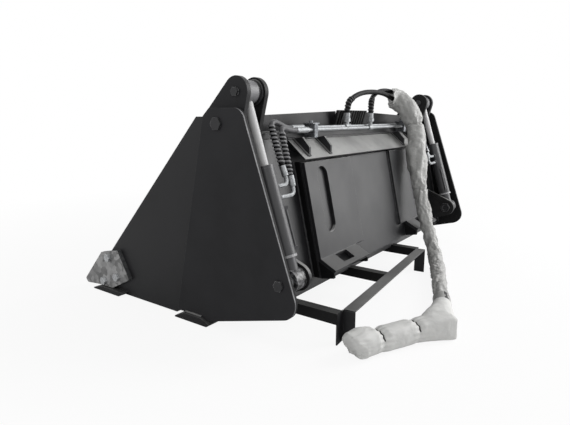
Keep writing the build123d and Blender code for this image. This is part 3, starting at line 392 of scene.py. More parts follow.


# The last figure of each enamel is the share of dust and painted top light on the faces that are turned up
finishes = {
    "black_paint": enamel("black_enamel_on_plate", "1e1e20", "5a5a5c", 0.42, 0.36, 0.42),
    # Cutting edges darker than the plates, as painted shade for where they lie under the cutters
    "edge_steel": enamel("black_enamel_on_cutting_edge", "18181a", "7a7a7c", 0.45, 0.35, 0.1),
    "barrel_paint": enamel("grey_enamel_on_barrel", "3c3c3e", "7a7a7c", 0.36, 0.5, 0.2),
    "stand_paint": enamel("black_enamel_on_angle_iron", "202022", "5a5a5c", 0.5, 0.35, 0.22),
    "cutter_steel": plated_steel("hot_dip_galvanised_plate", "b4b4b4", "7c7c7c", 0.022, 0.46, 0.7),
    "bolt_zinc": plated_steel("zinc_plated_bolt", "d2d4d6", "b2b4b6", 0.004, 0.34, 0.5),
    "rod_chrome": chromed_rod(),
    "tube_zinc": plated_steel("dull_zinc_tube", "a0a2a4", "868889", 0.006, 0.52, 0.68),
    "hose_rubber": hose_cover("cured_rubber", "0d0d0e", "222223", 0.22),
    "wrap_fabric": crinkled_sheet("crumpled_polyethylene_wrap", "b6b6b4", "8e8e8c", 0.03, 0.55),
    "bag_fabric": crinkled_sheet("thick_polyethylene_sack", "d6d6d4", "c6c6c4", 0.06, 0.6),
}
# Painted highlight as a bright ring at the barrel's collar, and grease with grit round the base pin
barrel = finishes["barrel_paint"]
cover(barrel, barrel_mask(barrel, "along", 0.0765, 0.0855), "8e8e90", "b0b0b2", 0.01, 0.4)
cover(barrel, barrel_mask(barrel, "round the pin", 0.0, 0.0402), "0c0c0d", "7c7c7e", 0.012, 0.32)
# Rims of the cutters darkened as painted shade, darker than their galvanised faces
cutter = finishes["cutter_steel"]
cover(cutter, across_mask(cutter, "Normal", 0.7, 0.5), "3c3d3e", "565758", 0.02, 0.6)
# Pin heads are black like the plates, with rims made bright partly by rubbed wear and partly as a painted highlight
painted_pin = enamel("black_enamel_on_pin_heads", "272729", "c4c4c6", 0.36, 0.4, 0.1)
# Side plates have a painted highlight as a pale strip along the outer part of their edges, and painted shade, near
# black, on their inner faces and the inner part of their edges
side_plate_paint_with_painted_light = enamel("black_enamel_on_side_plates", "252527", "5a5a5c", 0.42, 0.2, 0.42)
cover(side_plate_paint_with_painted_light, across_mask(side_plate_paint_with_painted_light, "Normal", 0.98, 0.88), "646466", "7c7c7e", 0.03, 0.45)
cover(side_plate_paint_with_painted_light, across_mask(side_plate_paint_with_painted_light, "Object", 0.9092, 0.9084), "070708", "0c0c0d", 0.1, 0.6)
# Painted shade on webs, inner arms and bars, whose enamel is darkened near black, and less dust and painted top light
# on the outer arms and the strips
shade_darkened_enamel = enamel("black_enamel_darkened_as_painted_shade", "0c0c0d", "3a3a3c", 0.5, 0.2, 0.1)
arm_paint = enamel("black_enamel_on_arms", "1e1e20", "5a5a5c", 0.45, 0.22, 0.08)
strip_paint = enamel("black_enamel_on_strips", "1e1e20", "5a5a5c", 0.42, 0.36, 0.16)
# Pale coat on the up-facing lower ends of the strips' slots: partly grit and partly painted light on those ledges
cover(strip_paint, ledge_mask(strip_paint, 0.28), "8e8e8e", "bcbcbc", 0.02, 0.6)
# Painted shade, near black, on the lugs' broad faces, and the enamel's dust and painted top light round their rims
lug_paint_with_painted_shade = enamel("black_enamel_on_lugs_with_painted_shade", "1e1e20", "5a5a5c", 0.42, 0.36, 0.42)
cover(lug_paint_with_painted_shade, across_mask(lug_paint_with_painted_shade, "Normal", 0.5, 0.7), "0a0a0b", "131314", 0.05, 0.6)
# Dust and painted top light lie thick on the hook lip, and hardly any on the guard and its slats
lip_paint = enamel("enamel_with_dust_and_painted_top_light_on_hook_lip", "1e1e20", "8a8a8c", 0.42, 0.36, 0.72)
guard_paint = enamel("black_enamel_on_spill_guard", "141416", "4a4a4c", 0.45, 0.25, 0.3)
slat_paint = enamel("black_enamel_on_slats", "101011", "3a3a3c", 0.5, 0.25, 0.06)
# Transfer pipes are sprayed with the barrels that they lie on, and the elbows beside them are left bright
elbow_zinc = plated_steel("dull_zinc_elbow", "a0a2a4", "868889", 0.006, 0.52, 0.68)
cover(elbow_zinc, across_mask(elbow_zinc, "Object", 0.7962, 0.7966), "303032", "3e3e40", 0.02, 0.5)
clamp_steel = plated_steel("phosphated_clamp_steel", "84868a", "5a5c5e", 0.006, 0.5, 0.7)
# Grey coils over black hose that is darkened further as painted shade in the gaps between the turns, dust and a painted
# sheen where the hose is bare, and black coils on the supply hoses
coil_plastic = enamel("extruded_polyethylene_coil", "727274", "8c8c8e", 0.42, 0.4, 0.2)
black_coil = enamel("black_polyethylene_coil", "161618", "4c4c4e", 0.36, 0.3, 0.1)
black_rubber_darkened_for_gap_shade = hose_cover("black_cured_rubber_darkened_for_gap_shade", "060607", "101011", 0.12)
rubber_with_dust_and_painted_sheen = hose_cover("cured_rubber_with_dust_and_painted_sheen", "3c3c3e", "6a6a6c", 0.3)
tape = crinkled_sheet("packing_tape", "a4a4a2", "868684", 0.02, 0.4)
tie_cord = enamel("twisted_tie_cord", "2e2e2c", "4a4a48", 0.7, 0.3, 0.0)

PIN_NODES = ("pivot_pins", "base_pins", "rod_pins", "pin_nuts")
own_finish = {
    "arm_bosses": arm_paint,
    "arm_tubes": arm_paint,
    "attach_lip": lip_paint,
    "attach_webs": shade_darkened_enamel,
    "cylinder_lugs": lug_paint_with_painted_shade,
    "spill_guard": guard_paint,
    "stand_bars": shade_darkened_enamel,
    "tube_clamps": clamp_steel,
    "view_slats": slat_paint,
}
for name in PIN_NODES:
    own_finish[name] = painted_pin
for side, _ in SIDES:
    own_finish[f"{side}_attach_strip"] = strip_paint
    own_finish[f"{side}_elbows"] = elbow_zinc
    own_finish[f"{side}_inner_arm"] = shade_darkened_enamel
    own_finish[f"{side}_outer_arm"] = arm_paint
    own_finish[f"{side}_side_plate"] = side_plate_paint_with_painted_light
slot_of = {row["node"]: row["material_slot"] for row in frame["record"]["subparts"]}
for name, slot in slot_of.items():
    nodes[name].data.materials.clear()
    nodes[name].data.materials.append(own_finish.get(name, finishes[slot]))


def dress(name, mesh, slot, *materials):
    """New piece with materials of its own, or else with the finish of a material slot."""
    piece = place(name, mesh)
    for material in materials or [finishes[slot]]:
        mesh.materials.append(material)
    return piece


def break_edges(node, width):
    """Takes the sharpness off a piece's edges, as a grinder and paint do, and keeps its flats flat."""
    weld = node.modifiers.new("joined_faces", "WELD")
    weld.merge_threshold = 0.00002
    bevel = node.modifiers.new("broken_edges", "BEVEL")
    bevel.width = width
    bevel.segments = 2
    bevel.limit_method = "ANGLE"
    bevel.angle_limit = math.radians(40)
    bevel.harden_normals = True
    flats = node.modifiers.new("flat_faces", "WEIGHTED_NORMAL")
    flats.keep_sharp = False


# Widths of broken edges by material slot, and on the pin heads
edge_widths = {
    "black_paint": 0.0014, "edge_steel": 0.002, "cutter_steel": 0.0012, "stand_paint": 0.0012, "bolt_zinc": 0.0007,
}
PIN_EDGE = 0.0022
for name, slot in slot_of.items():
    if slot in edge_widths and not name.endswith("clam_side"):
        break_edges(nodes[name], PIN_EDGE if name in PIN_NODES else edge_widths[slot])


# Beads of weld, painted over with the plates that they join
BEAD_STEP = 0.003
# Ripples about 7 mm apart, coarser than the real 3 mm so that they show
RIPPLE = 0.007
# Depth of a bead's root in its corner
BEAD_ROOT = 0.0005
# Outline of a bead from one face to the other, as (angle, share of its size)
bead_outline = ((0, 1.0), (30, 0.84), (60, 0.84), (90, 1.0))
# Back plate: its lean, the heel of its rear face as (Y, Z), and its thickness measured level
LEAN = math.radians(12.4)
HEEL = (-0.398, 0.109)
BACK_LEVEL = 0.010 / math.cos(LEAN)
UP_BACK = Vector((0.0, math.sin(LEAN), math.cos(LEAN)))
REARWARD = Vector((0.0, -math.cos(LEAN), math.sin(LEAN)))


def on_back(x, z, behind):
    """Point at a height, a level distance behind the rear face of the back plate."""
    return Vector((x, HEEL[0] + (z - HEEL[1]) * math.tan(LEAN) - behind, z))


def bead_rings(rows, size):
    """Rings of a rippled fillet through rows of a corner point and the two directions away from it."""
    rings = []
    done = 0.0
    before = rows[0][0]
    for corner, first, second in rows:
        done += (corner - before).length
        before = corner
        swell = 1.0 + 0.12 * math.sin(2 * math.pi * done / RIPPLE) + 0.2 * noise.noise(corner * 45)
        ring = [corner - (first + second) * BEAD_ROOT]
        for turn, crown in bead_outline:
            ring.append(corner + swung(first, second, math.radians(turn)) * (size * crown * swell))
        rings.append(ring)
    return rings


def straight_bead(start, end, first, second, size):
    """Rings of a bead along a straight corner, with the directions of its two faces away from the corner."""
    count = max(2, round((end - start).length / BEAD_STEP))
    return bead_rings([(start.lerp(end, i / count), first, second) for i in range(count + 1)], size)


def level_bead(middle, half, first, second, size):
    """Rings of a bead that runs level across the bucket."""
    return straight_bead(middle - RIGHT * half, middle + RIGHT * half, first, second, size)


def round_bead(x, centre, radius, away, turn, size):
    """Rings of a bead round a circle on a plate across X, from one angle to another, standing away from the plate."""
    count = round(radius * (turn[1] - turn[0]) / BEAD_STEP)
    rows = []
    for i in range(count + 1):
        out = swung(FORWARD, UP, turn[0] + (turn[1] - turn[0]) * i / count)
        rows.append((Vector((x, *centre)) + out * radius, out, away))
    return bead_rings(rows, size)


# Corners that run level across the bucket, at its middle, and their reach to each side
lip_low = Vector((0.0, -0.357, 0.611))
lip_high = on_back(0.0, 0.684, 0.0)
lip_run = (lip_high - lip_low).normalized()
lip_out = Vector((0.0, -lip_run.z, lip_run.y))
toe = Vector((0.0, -0.070, 0.030))
bend = Vector((0.0, -0.1105, 0.040))
heel = on_back(0.0, 0.1195, -BACK_LEVEL)
guard_foot = Vector((0.0, -0.2317, 0.710))
step = Vector((0.0, 0.3625, 0.018))
LIP_HALF = 0.585
FLOOR_HALF = 0.897
GUARD_HALF = 0.727
STEP_HALF = 0.882
floor_run = (bend - heel).normalized()
floor_up = RIGHT.cross(floor_run)
# Faces and places on each side, measured from the middle: side plate, clam side, arms and lip ribs
SIDE_INNER = 0.899
SIDE_OUTER = 0.915
CLAM_INNER = 0.884
OUTER_ARM_INNER = 0.864
INNER_ARM_OUTER = 0.790
RIBS = (0.385, 0.545)
RIB_HALF = 0.006
RIB_START = 0.012
PIVOT = (-0.214, 0.745)
ROUND = (0.0, 2 * math.pi)
fixed_beads = [
    level_bead(lip_high, LIP_HALF, -lip_run, UP, 0.0055),
    level_bead(toe, FLOOR_HALF, FORWARD, UP, 0.007),
    level_bead(heel, FLOOR_HALF, floor_run, UP_BACK, 0.008),
    level_bead(guard_foot, GUARD_HALF, -FORWARD, UP, 0.005),
]
clam_beads = [level_bead(step, STEP_HALF, -FORWARD, UP, 0.005)]
for _, sign in SIDES:
    out = RIGHT * sign
    for rib in RIBS:
        for face in (-1, 1):
            along_rib = out * rib + RIGHT * (face * RIB_HALF)
            low = along_rib + lip_low + lip_run * RIB_START
            fixed_beads.append(straight_bead(low, along_rib + lip_high, RIGHT * face, lip_out, 0.006))
    # Strip on the panel, then behind the back plate its web, both sides of the cylinder lug and the side plate, and
    # in front of it the pivot bracket and the side plate: X, level distance behind, way it faces, heights of its ends
    for x, depth, away, low, high in (
        (0.210, 0.0377, -1, 0.229, 0.596),
        (0.575, 0.0, 1, 0.151, 0.596),
        (0.788, 0.0, -1, 0.152, 0.328),
        (0.804, 0.0, 1, 0.152, 0.328),
        (SIDE_INNER, 0.0, -1, 0.112, 0.648),
        (0.751, -BACK_LEVEL, -1, 0.592, 0.684),
        (SIDE_INNER, -BACK_LEVEL, -1, 0.130, 0.648),
    ):
        start, end = (on_back(sign * x, z, depth) for z in (low, high))
        face = REARWARD if depth >= 0 else -REARWARD
        fixed_beads.append(straight_bead(start, end, out * away, face, 0.006))
    # Floor inside the side plate, and the side plate's foot on the cutting edge
    inner_wall = out * SIDE_INNER
    fixed_beads.append(straight_bead(inner_wall + heel, inner_wall + bend, -out, floor_up, 0.006))
    edge_top = out * SIDE_OUTER + UP * toe.z
    fixed_beads.append(straight_bead(edge_top - FORWARD * 0.112, edge_top - FORWARD * 0.026, out, UP, 0.007))
    # Clam side on the floor and on the cutting edge, tubes and bosses on the arms, and the arm on the clam side
    for low, high, z in ((0.060, 0.361, 0.018), (0.357, 0.519, 0.022)):
        corner = out * CLAM_INNER + UP * z
        clam_beads.append(straight_bead(corner + FORWARD * low, corner + FORWARD * high, -out, UP, 0.007))
    clam_beads += [
        round_bead(sign * INNER_ARM_OUTER, PIVOT, 0.032, out, ROUND, 0.006),
        round_bead(sign * OUTER_ARM_INNER, PIVOT, 0.032, -out, ROUND, 0.006),
        round_bead(sign * INNER_ARM_OUTER, ROD_PIN, 0.039, out, ROUND, 0.005),
        round_bead(sign * CLAM_INNER, PIVOT, 0.083, -out, (-1.9, 0.25), 0.007),
    ]
for name, body, beads in (("frame_welds", "back", fixed_beads), ("clam_welds", "clam", clam_beads)):
    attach(dress(name, tube_mesh(name, *beads), "black_paint"), body)


# Supply hoses from the tees into the mouth of the wrapping
supply_routes = {
    "left": (
        (-0.138, -0.2847, 0.786), (-0.138, -0.2847, 0.822), (-0.105, -0.285, 0.850), (-0.010, -0.287, 0.880),
        (0.125, -0.290, 0.890), (0.255, -0.288, 0.884), (0.345, -0.282, 0.867), (0.390, -0.280, 0.859),
    ),
    "right": (
        (0.055, -0.3077, 0.786), (0.055, -0.3077, 0.822), (0.085, -0.296, 0.850), (0.150, -0.272, 0.872),
        (0.245, -0.256, 0.898), (0.330, -0.262, 0.906), (0.388, -0.268, 0.900),
    ),
}
SUPPLY_HOSE = 0.023
supply_lines = {}
for side, route in supply_routes.items():
    name = f"{side}_supply_hose_cover"
    curve = smooth_curve(name, route)
    curve.bevel_depth = SUPPLY_HOSE / 2
    curve.bevel_resolution = 6
    curve.use_fill_caps = True
    hose = dress(name, curve, "hose_rubber", black_rubber_darkened_for_gap_shade)
    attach(hose, "back")
    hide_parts(f"{side}_supply_hose")
    supply_lines[side] = Line(smooth_line(route))


# Pitch of the guards' turns, points to a turn, and room between guard and hose
GUARD_PITCH = 0.0148
GUARD_POINTS = 20
GUARD_ROOM = 0.0002
# Outline of a guard's strip, as (share of its width, share of its wall)
strip_outline = ((-0.5, 0.0), (-0.36, 1.0), (0.36, 1.0), (0.5, 0.0))


def coil_guard(name, line, span, hose, band, wall):
    """Flat strip wound round a hose as a guard, with its turns a little apart."""
    start, end = span
    winds = (end - start) / GUARD_PITCH
    steps = int(winds * GUARD_POINTS)
    rings = []
    for i in range(steps + 1):
        share = i / steps
        point, along, across, up = line.at(start + (end - start) * share)
        out = swung(across, up, 2 * math.pi * winds * share)
        inner = hose / 2 + GUARD_ROOM
        rings.append([point + along * (band * aside) + out * (inner + wall * lift) for aside, lift in strip_outline])
    return tube_mesh(name, rings)


# Cylinder hoses from the feed tubes to the elbows, each with a coiled guard
hose_routes = {
    "rod": (
        (0.580, -0.2847, 0.726), (0.610, -0.2847, 0.726), (0.652, -0.281, 0.743), (0.697, -0.282, 0.753),
        (0.714, -0.290, 0.724), (0.7234, -0.3472, 0.5959),
    ),
    "base": (
        (0.580, -0.3077, 0.718), (0.610, -0.3077, 0.718), (0.638, -0.306, 0.724), (0.674, -0.309, 0.730),
        (0.691, -0.319, 0.708), (0.700, -0.3662, 0.5605),
    ),
}
CYLINDER_HOSE = 0.020
HOSE_POINTS = 20
# Where each guard starts along its hose, past the bend, and how far short of the elbow it stops
guard_starts = {"rod": 0.135, "base": 0.115}
GUARD_STOP = 0.006
for side, sign in SIDES:
    for end, right_route in hose_routes.items():
        route = [(sign * x, y, z) for x, y, z in right_route]
        line = Line(smooth_line(route))
        rings = []
        for point, (_, across, up) in zip(line.points, line.frames):
            rings.append([point + swung(across, up, angle) * (CYLINDER_HOSE / 2) for angle in turns(HOSE_POINTS)])
        name = f"{side}_{end}_hose_cover"
        hose = dress(name, tube_mesh(name, rings), "hose_rubber", black_rubber_darkened_for_gap_shade, rubber_with_dust_and_painted_sheen)
        name = f"{side}_{end}_hose_guard"
        span = (guard_starts[end], line.length - GUARD_STOP)
        guard_mesh = coil_guard(name, line, span, CYLINDER_HOSE, 0.0078, 0.0032)
        guard = dress(name, guard_mesh, "hose_rubber", coil_plastic)
        # The bare bend above the guard carries dust and a painted sheen
        for polygon in hose.data.polygons:
            if line.reach[polygon.index // HOSE_POINTS] < guard_starts[end]:
                polygon.material_index = 1
        for piece in (hose, guard):
            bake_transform(piece)
        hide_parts(f"{side}_{end}_hose")


# Guards on the supply hoses, only where they leave the tees
for side, line in supply_lines.items():
    name = f"{side}_supply_guard"
    guard_mesh = coil_guard(name, line, (0.002, 0.085), SUPPLY_HOSE, 0.0088, 0.0028)
    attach(dress(name, guard_mesh, "hose_rubber", black_coil), "back")


# Wrapping round the supply hoses: down over the coupling frame to the floor and along it to the bag
wrap_route = (
    (0.335, -0.274, 0.868), (0.415, -0.275, 0.868), (0.422, -0.350, 0.812), (0.434, -0.398, 0.706),
    (0.375, -0.424, 0.548), (0.308, -0.502, 0.292), (0.315, -0.560, 0.112), (0.264, -0.602, 0.046),
    (0.100, -0.668, 0.040), (-0.130, -0.750, 0.040), (-0.300, -0.818, 0.040), (-0.470, -0.878, 0.040),
    (-0.640, -0.786, 0.036), (-0.800, -0.706, 0.036),
)
# Radius of the wrapping at distances along it, loose at the top and drawn tight lower down
wrap_girth = (
    (0.00, 0.046), (0.06, 0.051), (0.14, 0.055), (0.20, 0.054), (0.25, 0.046), (0.29, 0.045), (0.335, 0.050),
    (0.385, 0.056), (0.43, 0.057), (0.47, 0.052), (0.525, 0.043), (0.57, 0.038), (0.64, 0.034), (0.74, 0.037),
    (0.80, 0.034), (0.95, 0.035), (1.20, 0.033), (1.55, 0.032), (1.75, 0.028), (1.90, 0.024), (2.50, 0.024),
)


def between(table, distance):
    """Value of a table of (distance, value) pairs, eased between its rows."""
    for (start, low), (end, high) in zip(table, table[1:]):
        if distance <= end:
            share = max(0.0, (distance - start) / (end - start))
            share = share * share * (3 - 2 * share)
            return low + (high - low) * share
    return table[-1][1]


def crumple(point, size):
    """Sharp-ridged noise, up to 1 on the ridges and about -1 in the hollows, for folds of a given size."""
    return 1.0 - 3.2 * abs(noise.noise(point / size))


wrap_line = Line(smooth_line(wrap_route))
WRAP_STEP = 0.004
RING_POINTS = 48
# Creases where the wrapping is drawn in, as (distance along it, depth), which waver as they go round it
wrap_creases = ((0.246, 0.008), (0.605, 0.006))
CREASE_WIDTH = 0.006
CREASE_WAVER = 0.007
# Long soft folds that wind slowly round the wrapping, dents and small puckers: height, and turns of noise a metre
FOLD, FOLD_RATE = 0.0046, 13.0
DENT, DENT_RATE = 0.0064, 21.0
PUCKER, PUCKER_RATE = 0.0022, 38.0
WIND = 3.0
# Room for the folds below the girth, girth from which dents are full, and share of the folds under the tape
FOLD_ROOM = 0.004
FULL_DENT = 0.045
UNDER_TAPE = 0.2
TAPE_MARGIN = 0.01
WRAP_LOWEST = 0.0015
# The mouth is gathered in on the hoses, as (distance, share of the girth), and cut on a slant
gathered = ((0.012, 0.42), (0.010, 0.72), (0.004, 0.92))
mouth_slant = {"near": 1.1, "far": 0.7}
MOUTH_FROM = 0.037
MOUTH_FADE = 0.16
# Loose flaps round the mouth, as (angle round it, angle they spread over, reach), and its ragged rim
mouth_flaps = ((-1.15, 0.22, 0.030), (0.15, 0.3, 0.008), (1.25, 0.28, 0.016), (2.6, 0.4, 0.012))
MOUTH_RAG = 0.008
# Tape round the lower end of the wrapping, past its upright stretch, from one X to another
TAPE_X = (-0.222, -0.308)
UPRIGHT = 1.0
tape_span = []
for x in TAPE_X:
    passed = (reach for reach, point in zip(wrap_line.reach, wrap_line.points) if reach > UPRIGHT and point.x < x)
    tape_span.append(next(passed))
rows = list(gathered) + [(WRAP_STEP * i, 1.0) for i in range(int((wrap_line.length - MOUTH_FROM) / WRAP_STEP))]
rings = []
for from_mouth, share in rows:
    distance = MOUTH_FROM + from_mouth
    point, along, across, up = wrap_line.at(distance)
    girth = between(wrap_girth, distance) * share
    under_tape = tape_span[0] - TAPE_MARGIN < distance < tape_span[1] + TAPE_MARGIN
    ring = []
    for angle in turns(RING_POINTS):
        out = swung(across, up, angle)
        crease = 0.0
        for middle, depth in wrap_creases:
            off = distance - middle - CREASE_WAVER * math.sin(angle * 2 + 1.0)
            crease += depth * math.exp(-((off / CREASE_WIDTH) ** 2))
        round_it = swung(RIGHT, FORWARD, angle + distance * WIND) * 0.9
        lift = FOLD * crumple(round_it + Vector((4.0, 1.0, distance * FOLD_RATE)), 1.0)
        dent = noise.noise(round_it * 1.7 + Vector((2.0, 7.0, distance * DENT_RATE)))
        lift += DENT * dent * min(1.0, girth / FULL_DENT)
        lift += PUCKER * crumple(round_it * 2.6 + Vector((9.0, 2.0, distance * PUCKER_RATE)), 1.0)
        if under_tape:
            lift *= UNDER_TAPE
        spot = point + out * (girth - FOLD_ROOM + lift - crease)
        if from_mouth < MOUTH_FADE:
            fade = 1.0 - from_mouth / MOUTH_FADE
            slant = mouth_slant["far"] if out.y > 0 else mouth_slant["near"]
            spot += along * (out.y * girth * slant * fade)
            for middle, spread, reach in mouth_flaps:
                off = (angle - middle + math.pi) % (2 * math.pi) - math.pi
                spot -= along * (reach * share * math.exp(-((off / spread) ** 2)) * fade**3)
            ragged = noise.noise(swung(RIGHT, FORWARD, angle) * 4.0 + UP * 4.2)
            spot -= along * (MOUTH_RAG * ragged * fade**3)
        spot.z = max(spot.z, WRAP_LOWEST)
        ring.append(spot)
    rings.append(ring)
wrap = dress("crumpled_wrapping", tube_mesh("crumpled_wrapping", rings), "wrap_fabric")
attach(wrap, "back")
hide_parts("hose_wrap")


# Tape with one dark open seam along it
SEAM_FACING = Vector((0.14, -0.38, 0.92)).normalized()
SEAM_WITHIN = 0.975
TAPE_WALL = 0.0025
TAPE_UNEVEN = 0.0012
TAPE_ROWS = 12
rings = []
for i in range(TAPE_ROWS + 1):
    distance = tape_span[0] + (tape_span[1] - tape_span[0]) * i / TAPE_ROWS
    point, _, across, up = wrap_line.at(distance)
    girth = between(wrap_girth, distance) + TAPE_WALL
    ring = []
    for k, angle in enumerate(turns(RING_POINTS)):
        uneven = TAPE_UNEVEN * noise.noise(Vector((k * 0.7, i * 0.5, 3.1)))
        spot = point + swung(across, up, angle) * (girth + uneven)
        spot.z = max(spot.z, 0.001)
        ring.append(spot)
    rings.append(ring)
band = dress("tape_band", tube_mesh("tape_band", rings), "wrap_fabric", tape, finishes["hose_rubber"])
for polygon in band.data.polygons:
    if len(polygon.vertices) == 4 and polygon.normal.dot(SEAM_FACING) > SEAM_WITHIN:
        polygon.material_index = 1
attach(band, "back")


# Sack over the hose ends: three lobes with ties between them, a square corner and a sleeve up the wrapping
def loft(stations, count):
    """Rings along a bag: each station has a middle, a width direction, a half width, a half height and a squareness."""
    rings = []
    for middle, across, wide, high, square in stations:
        ring = []
        for angle in turns(count):
            c = math.cos(angle)
            s = math.sin(angle)
            reach_wide = math.copysign(abs(c) ** square, c) * wide
            reach_high = math.copysign(abs(s) ** square, s) * high
            ring.append(middle + across * reach_wide + UP * reach_high)
        rings.append(ring)
    return rings


bag_axis = (
    (-0.466, -0.905, 0.0), (-0.500, -0.872, 0.0), (-0.540, -0.840, 0.0), (-0.587, -0.808, 0.0), (-0.656, -0.772, 0.0),
    (-0.724, -0.737, 0.0), (-0.775, -0.714, 0.0), (-0.805, -0.700, 0.0), (-0.822, -0.692, 0.0),
)
bag_line = Line(smooth_line(bag_axis))
# Distance from the right end, half width, half height and squareness of the bag, which is narrow at the ties
bag_girth = (
    (0.000, 0.040, 0.043, 0.35), (0.015, 0.042, 0.045, 0.35), (0.070, 0.043, 0.044, 0.5), (0.130, 0.041, 0.041, 0.7),
    (0.147, 0.0385, 0.039, 0.8), (0.154, 0.034, 0.0345, 0.85), (0.161, 0.0385, 0.039, 0.8),
    (0.180, 0.0415, 0.041, 0.7), (0.230, 0.042, 0.041, 0.7), (0.280, 0.041, 0.040, 0.7), (0.300, 0.038, 0.0375, 0.8),
    (0.307, 0.033, 0.0335, 0.85), (0.314, 0.038, 0.0375, 0.8), (0.338, 0.046, 0.044, 0.8), (0.370, 0.049, 0.046, 0.8),
    (0.400, 0.045, 0.044, 0.8), (0.412, 0.038, 0.039, 0.85), (0.418, 0.026, 0.028, 0.9),
)
bag_tables = [[(row[0], row[column]) for row in bag_girth] for column in (1, 2, 3)]
BAG_LIFT = 0.002
BAG_ROWS = 110
BAG_POINTS = 56
stations = []
for i in range(BAG_ROWS):
    distance = bag_line.length * i / (BAG_ROWS - 1)
    point, _, across, _ = bag_line.at(distance)
    wide, high, square = (between(table, distance) for table in bag_tables)
    stations.append((point + UP * (BAG_LIFT + high), across, wide, high, square))
body = tube_mesh("sack_body", loft(stations, BAG_POINTS))
# The sleeve, from the tape to the bag: middle, width direction, half width, half height and squareness
sleeve_stations = (
    ((-0.298, -0.812), (0.36, -0.93), 0.0375, 0.0375, 1.0),
    ((-0.335, -0.824), (0.38, -0.92), 0.0385, 0.038, 0.95),
    ((-0.375, -0.834), (0.48, -0.88), 0.044, 0.040, 0.9),
    ((-0.415, -0.840), (0.58, -0.81), 0.055, 0.042, 0.8),
    ((-0.455, -0.846), (0.68, -0.73), 0.066, 0.042, 0.75),
    ((-0.495, -0.862), (0.70, -0.72), 0.068, 0.042, 0.75),
)
SLEEVE_POINTS = 40
stations = []
for (x, y), (wide_x, wide_y), wide, high, square in sleeve_stations:
    across = Vector((wide_x, wide_y, 0.0)).normalized()
    stations.append((Vector((x, y, BAG_LIFT + high)), across, wide, high, square))
sleeve = tube_mesh("sack_sleeve", loft(stations, SLEEVE_POINTS))


def shrunk_together(name, meshes, voxel, passes):
    """One closed skin over several overlapping meshes, with the joins between them smoothed."""
    shape = bmesh.new()
    for mesh in meshes:
        shape.from_mesh(mesh)
    joined = bpy.data.meshes.new(name)
    shape.to_mesh(joined)
    shape.free()
    holder = place(name, joined)
    skin = holder.modifiers.new("skin", "REMESH")
    skin.mode = "VOXEL"
    skin.voxel_size = voxel
    relax = holder.modifiers.new("relax", "SMOOTH")
    relax.factor = 0.5
    relax.iterations = passes
    done = bpy.data.meshes.new_from_object(holder.evaluated_get(bpy.context.evaluated_depsgraph_get()))
    bpy.data.objects.remove(holder)
    for mesh in meshes:
        bpy.data.meshes.remove(mesh)
    done.name = name
    return done


sack_mesh = shrunk_together("tied_sack", [body, sleeve], 0.004, 3)
TIES = (0.154, 0.307)
TIE_PULL = 0.03
# The bunched left end: where it starts, what it fades in over, and the height about which it leans out at the top
BUNCH_FROM = 0.36
BUNCH_FADE = 0.05
BAG_MIDDLE = 0.04
BAG_END_MIDDLE = 0.036
BAG_END_LEAN = 0.55
# Heights of the pleats at the ties and at the bunched end, more so low down, and of the folds and the ragged rim
TIE_PLEAT = 0.0020
END_PLEAT = 0.0014
LOW_PLEAT = 0.0036
LOW_TOP = 0.05
SACK_FOLD = 0.0026
SACK_GRAIN = 0.0010
END_FOLD = 0.0034
END_CRINKLE = 0.0048
RIM_RAG = 0.0105
SACK_ROOM = 0.001
FLAT_BELOW = 0.02
bag_points = kdtree.KDTree(len(bag_line.points))
for i, point in enumerate(bag_line.points):
    bag_points.insert(point, i)
bag_points.balance()
moved = []
for vertex in sack_mesh.vertices:
    spot = vertex.co.copy()
    near, i, _ = bag_points.find(Vector((spot.x, spot.y, 0.0)))
    along, across, _ = bag_line.frames[i]
    reach = bag_line.reach[i]
    # Pleats fan out from the ties, and the left end is bunched
    pull = max(math.exp(-(((reach - tie) / TIE_PULL) ** 2)) for tie in TIES)
    bunched = min(1.0, max(0.0, (reach - BUNCH_FROM) / BUNCH_FADE))
    low = max(0.0, 1.0 - spot.z / LOW_TOP)
    around = math.atan2(spot.z - BAG_MIDDLE, (spot - near).dot(across))
    lift = TIE_PLEAT * pull * math.sin(around * 14 + 4 * noise.noise(spot * 9))
    lift += (END_PLEAT + LOW_PLEAT * low) * bunched * math.sin(around * 22 + 7 * noise.noise(spot * 12))
    lift += SACK_FOLD * crumple(spot + Vector((1.3, 5.1, 0.4)), 0.11) + SACK_GRAIN * noise.noise(spot * 40)
    lift += END_FOLD * bunched * crumple(spot + Vector((2.2, 0.6, 3.3)), 0.045)
    lift += END_CRINKLE * bunched * low * crumple(spot + Vector((4.1, 2.6, 1.3)), 0.022)
    lift = (lift - SACK_ROOM) * min(1.0, max(0.0, spot.z / FLAT_BELOW))
    # The end leans out at the top, and its lower rim is ragged
    ragged = RIM_RAG * low * noise.noise(spot * 55)
    lean_out = along * (bunched * ((spot.z - BAG_END_MIDDLE) * BAG_END_LEAN + ragged))
    moved.append(spot + vertex.normal * lift + lean_out)
for vertex, spot in zip(sack_mesh.vertices, moved):
    vertex.co = (spot.x, spot.y, max(spot.z, 0.001))
sack_mesh.shade_smooth()
sack = dress("tied_sack", sack_mesh, "bag_fabric")
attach(sack, "back")
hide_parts("coupler_bag")


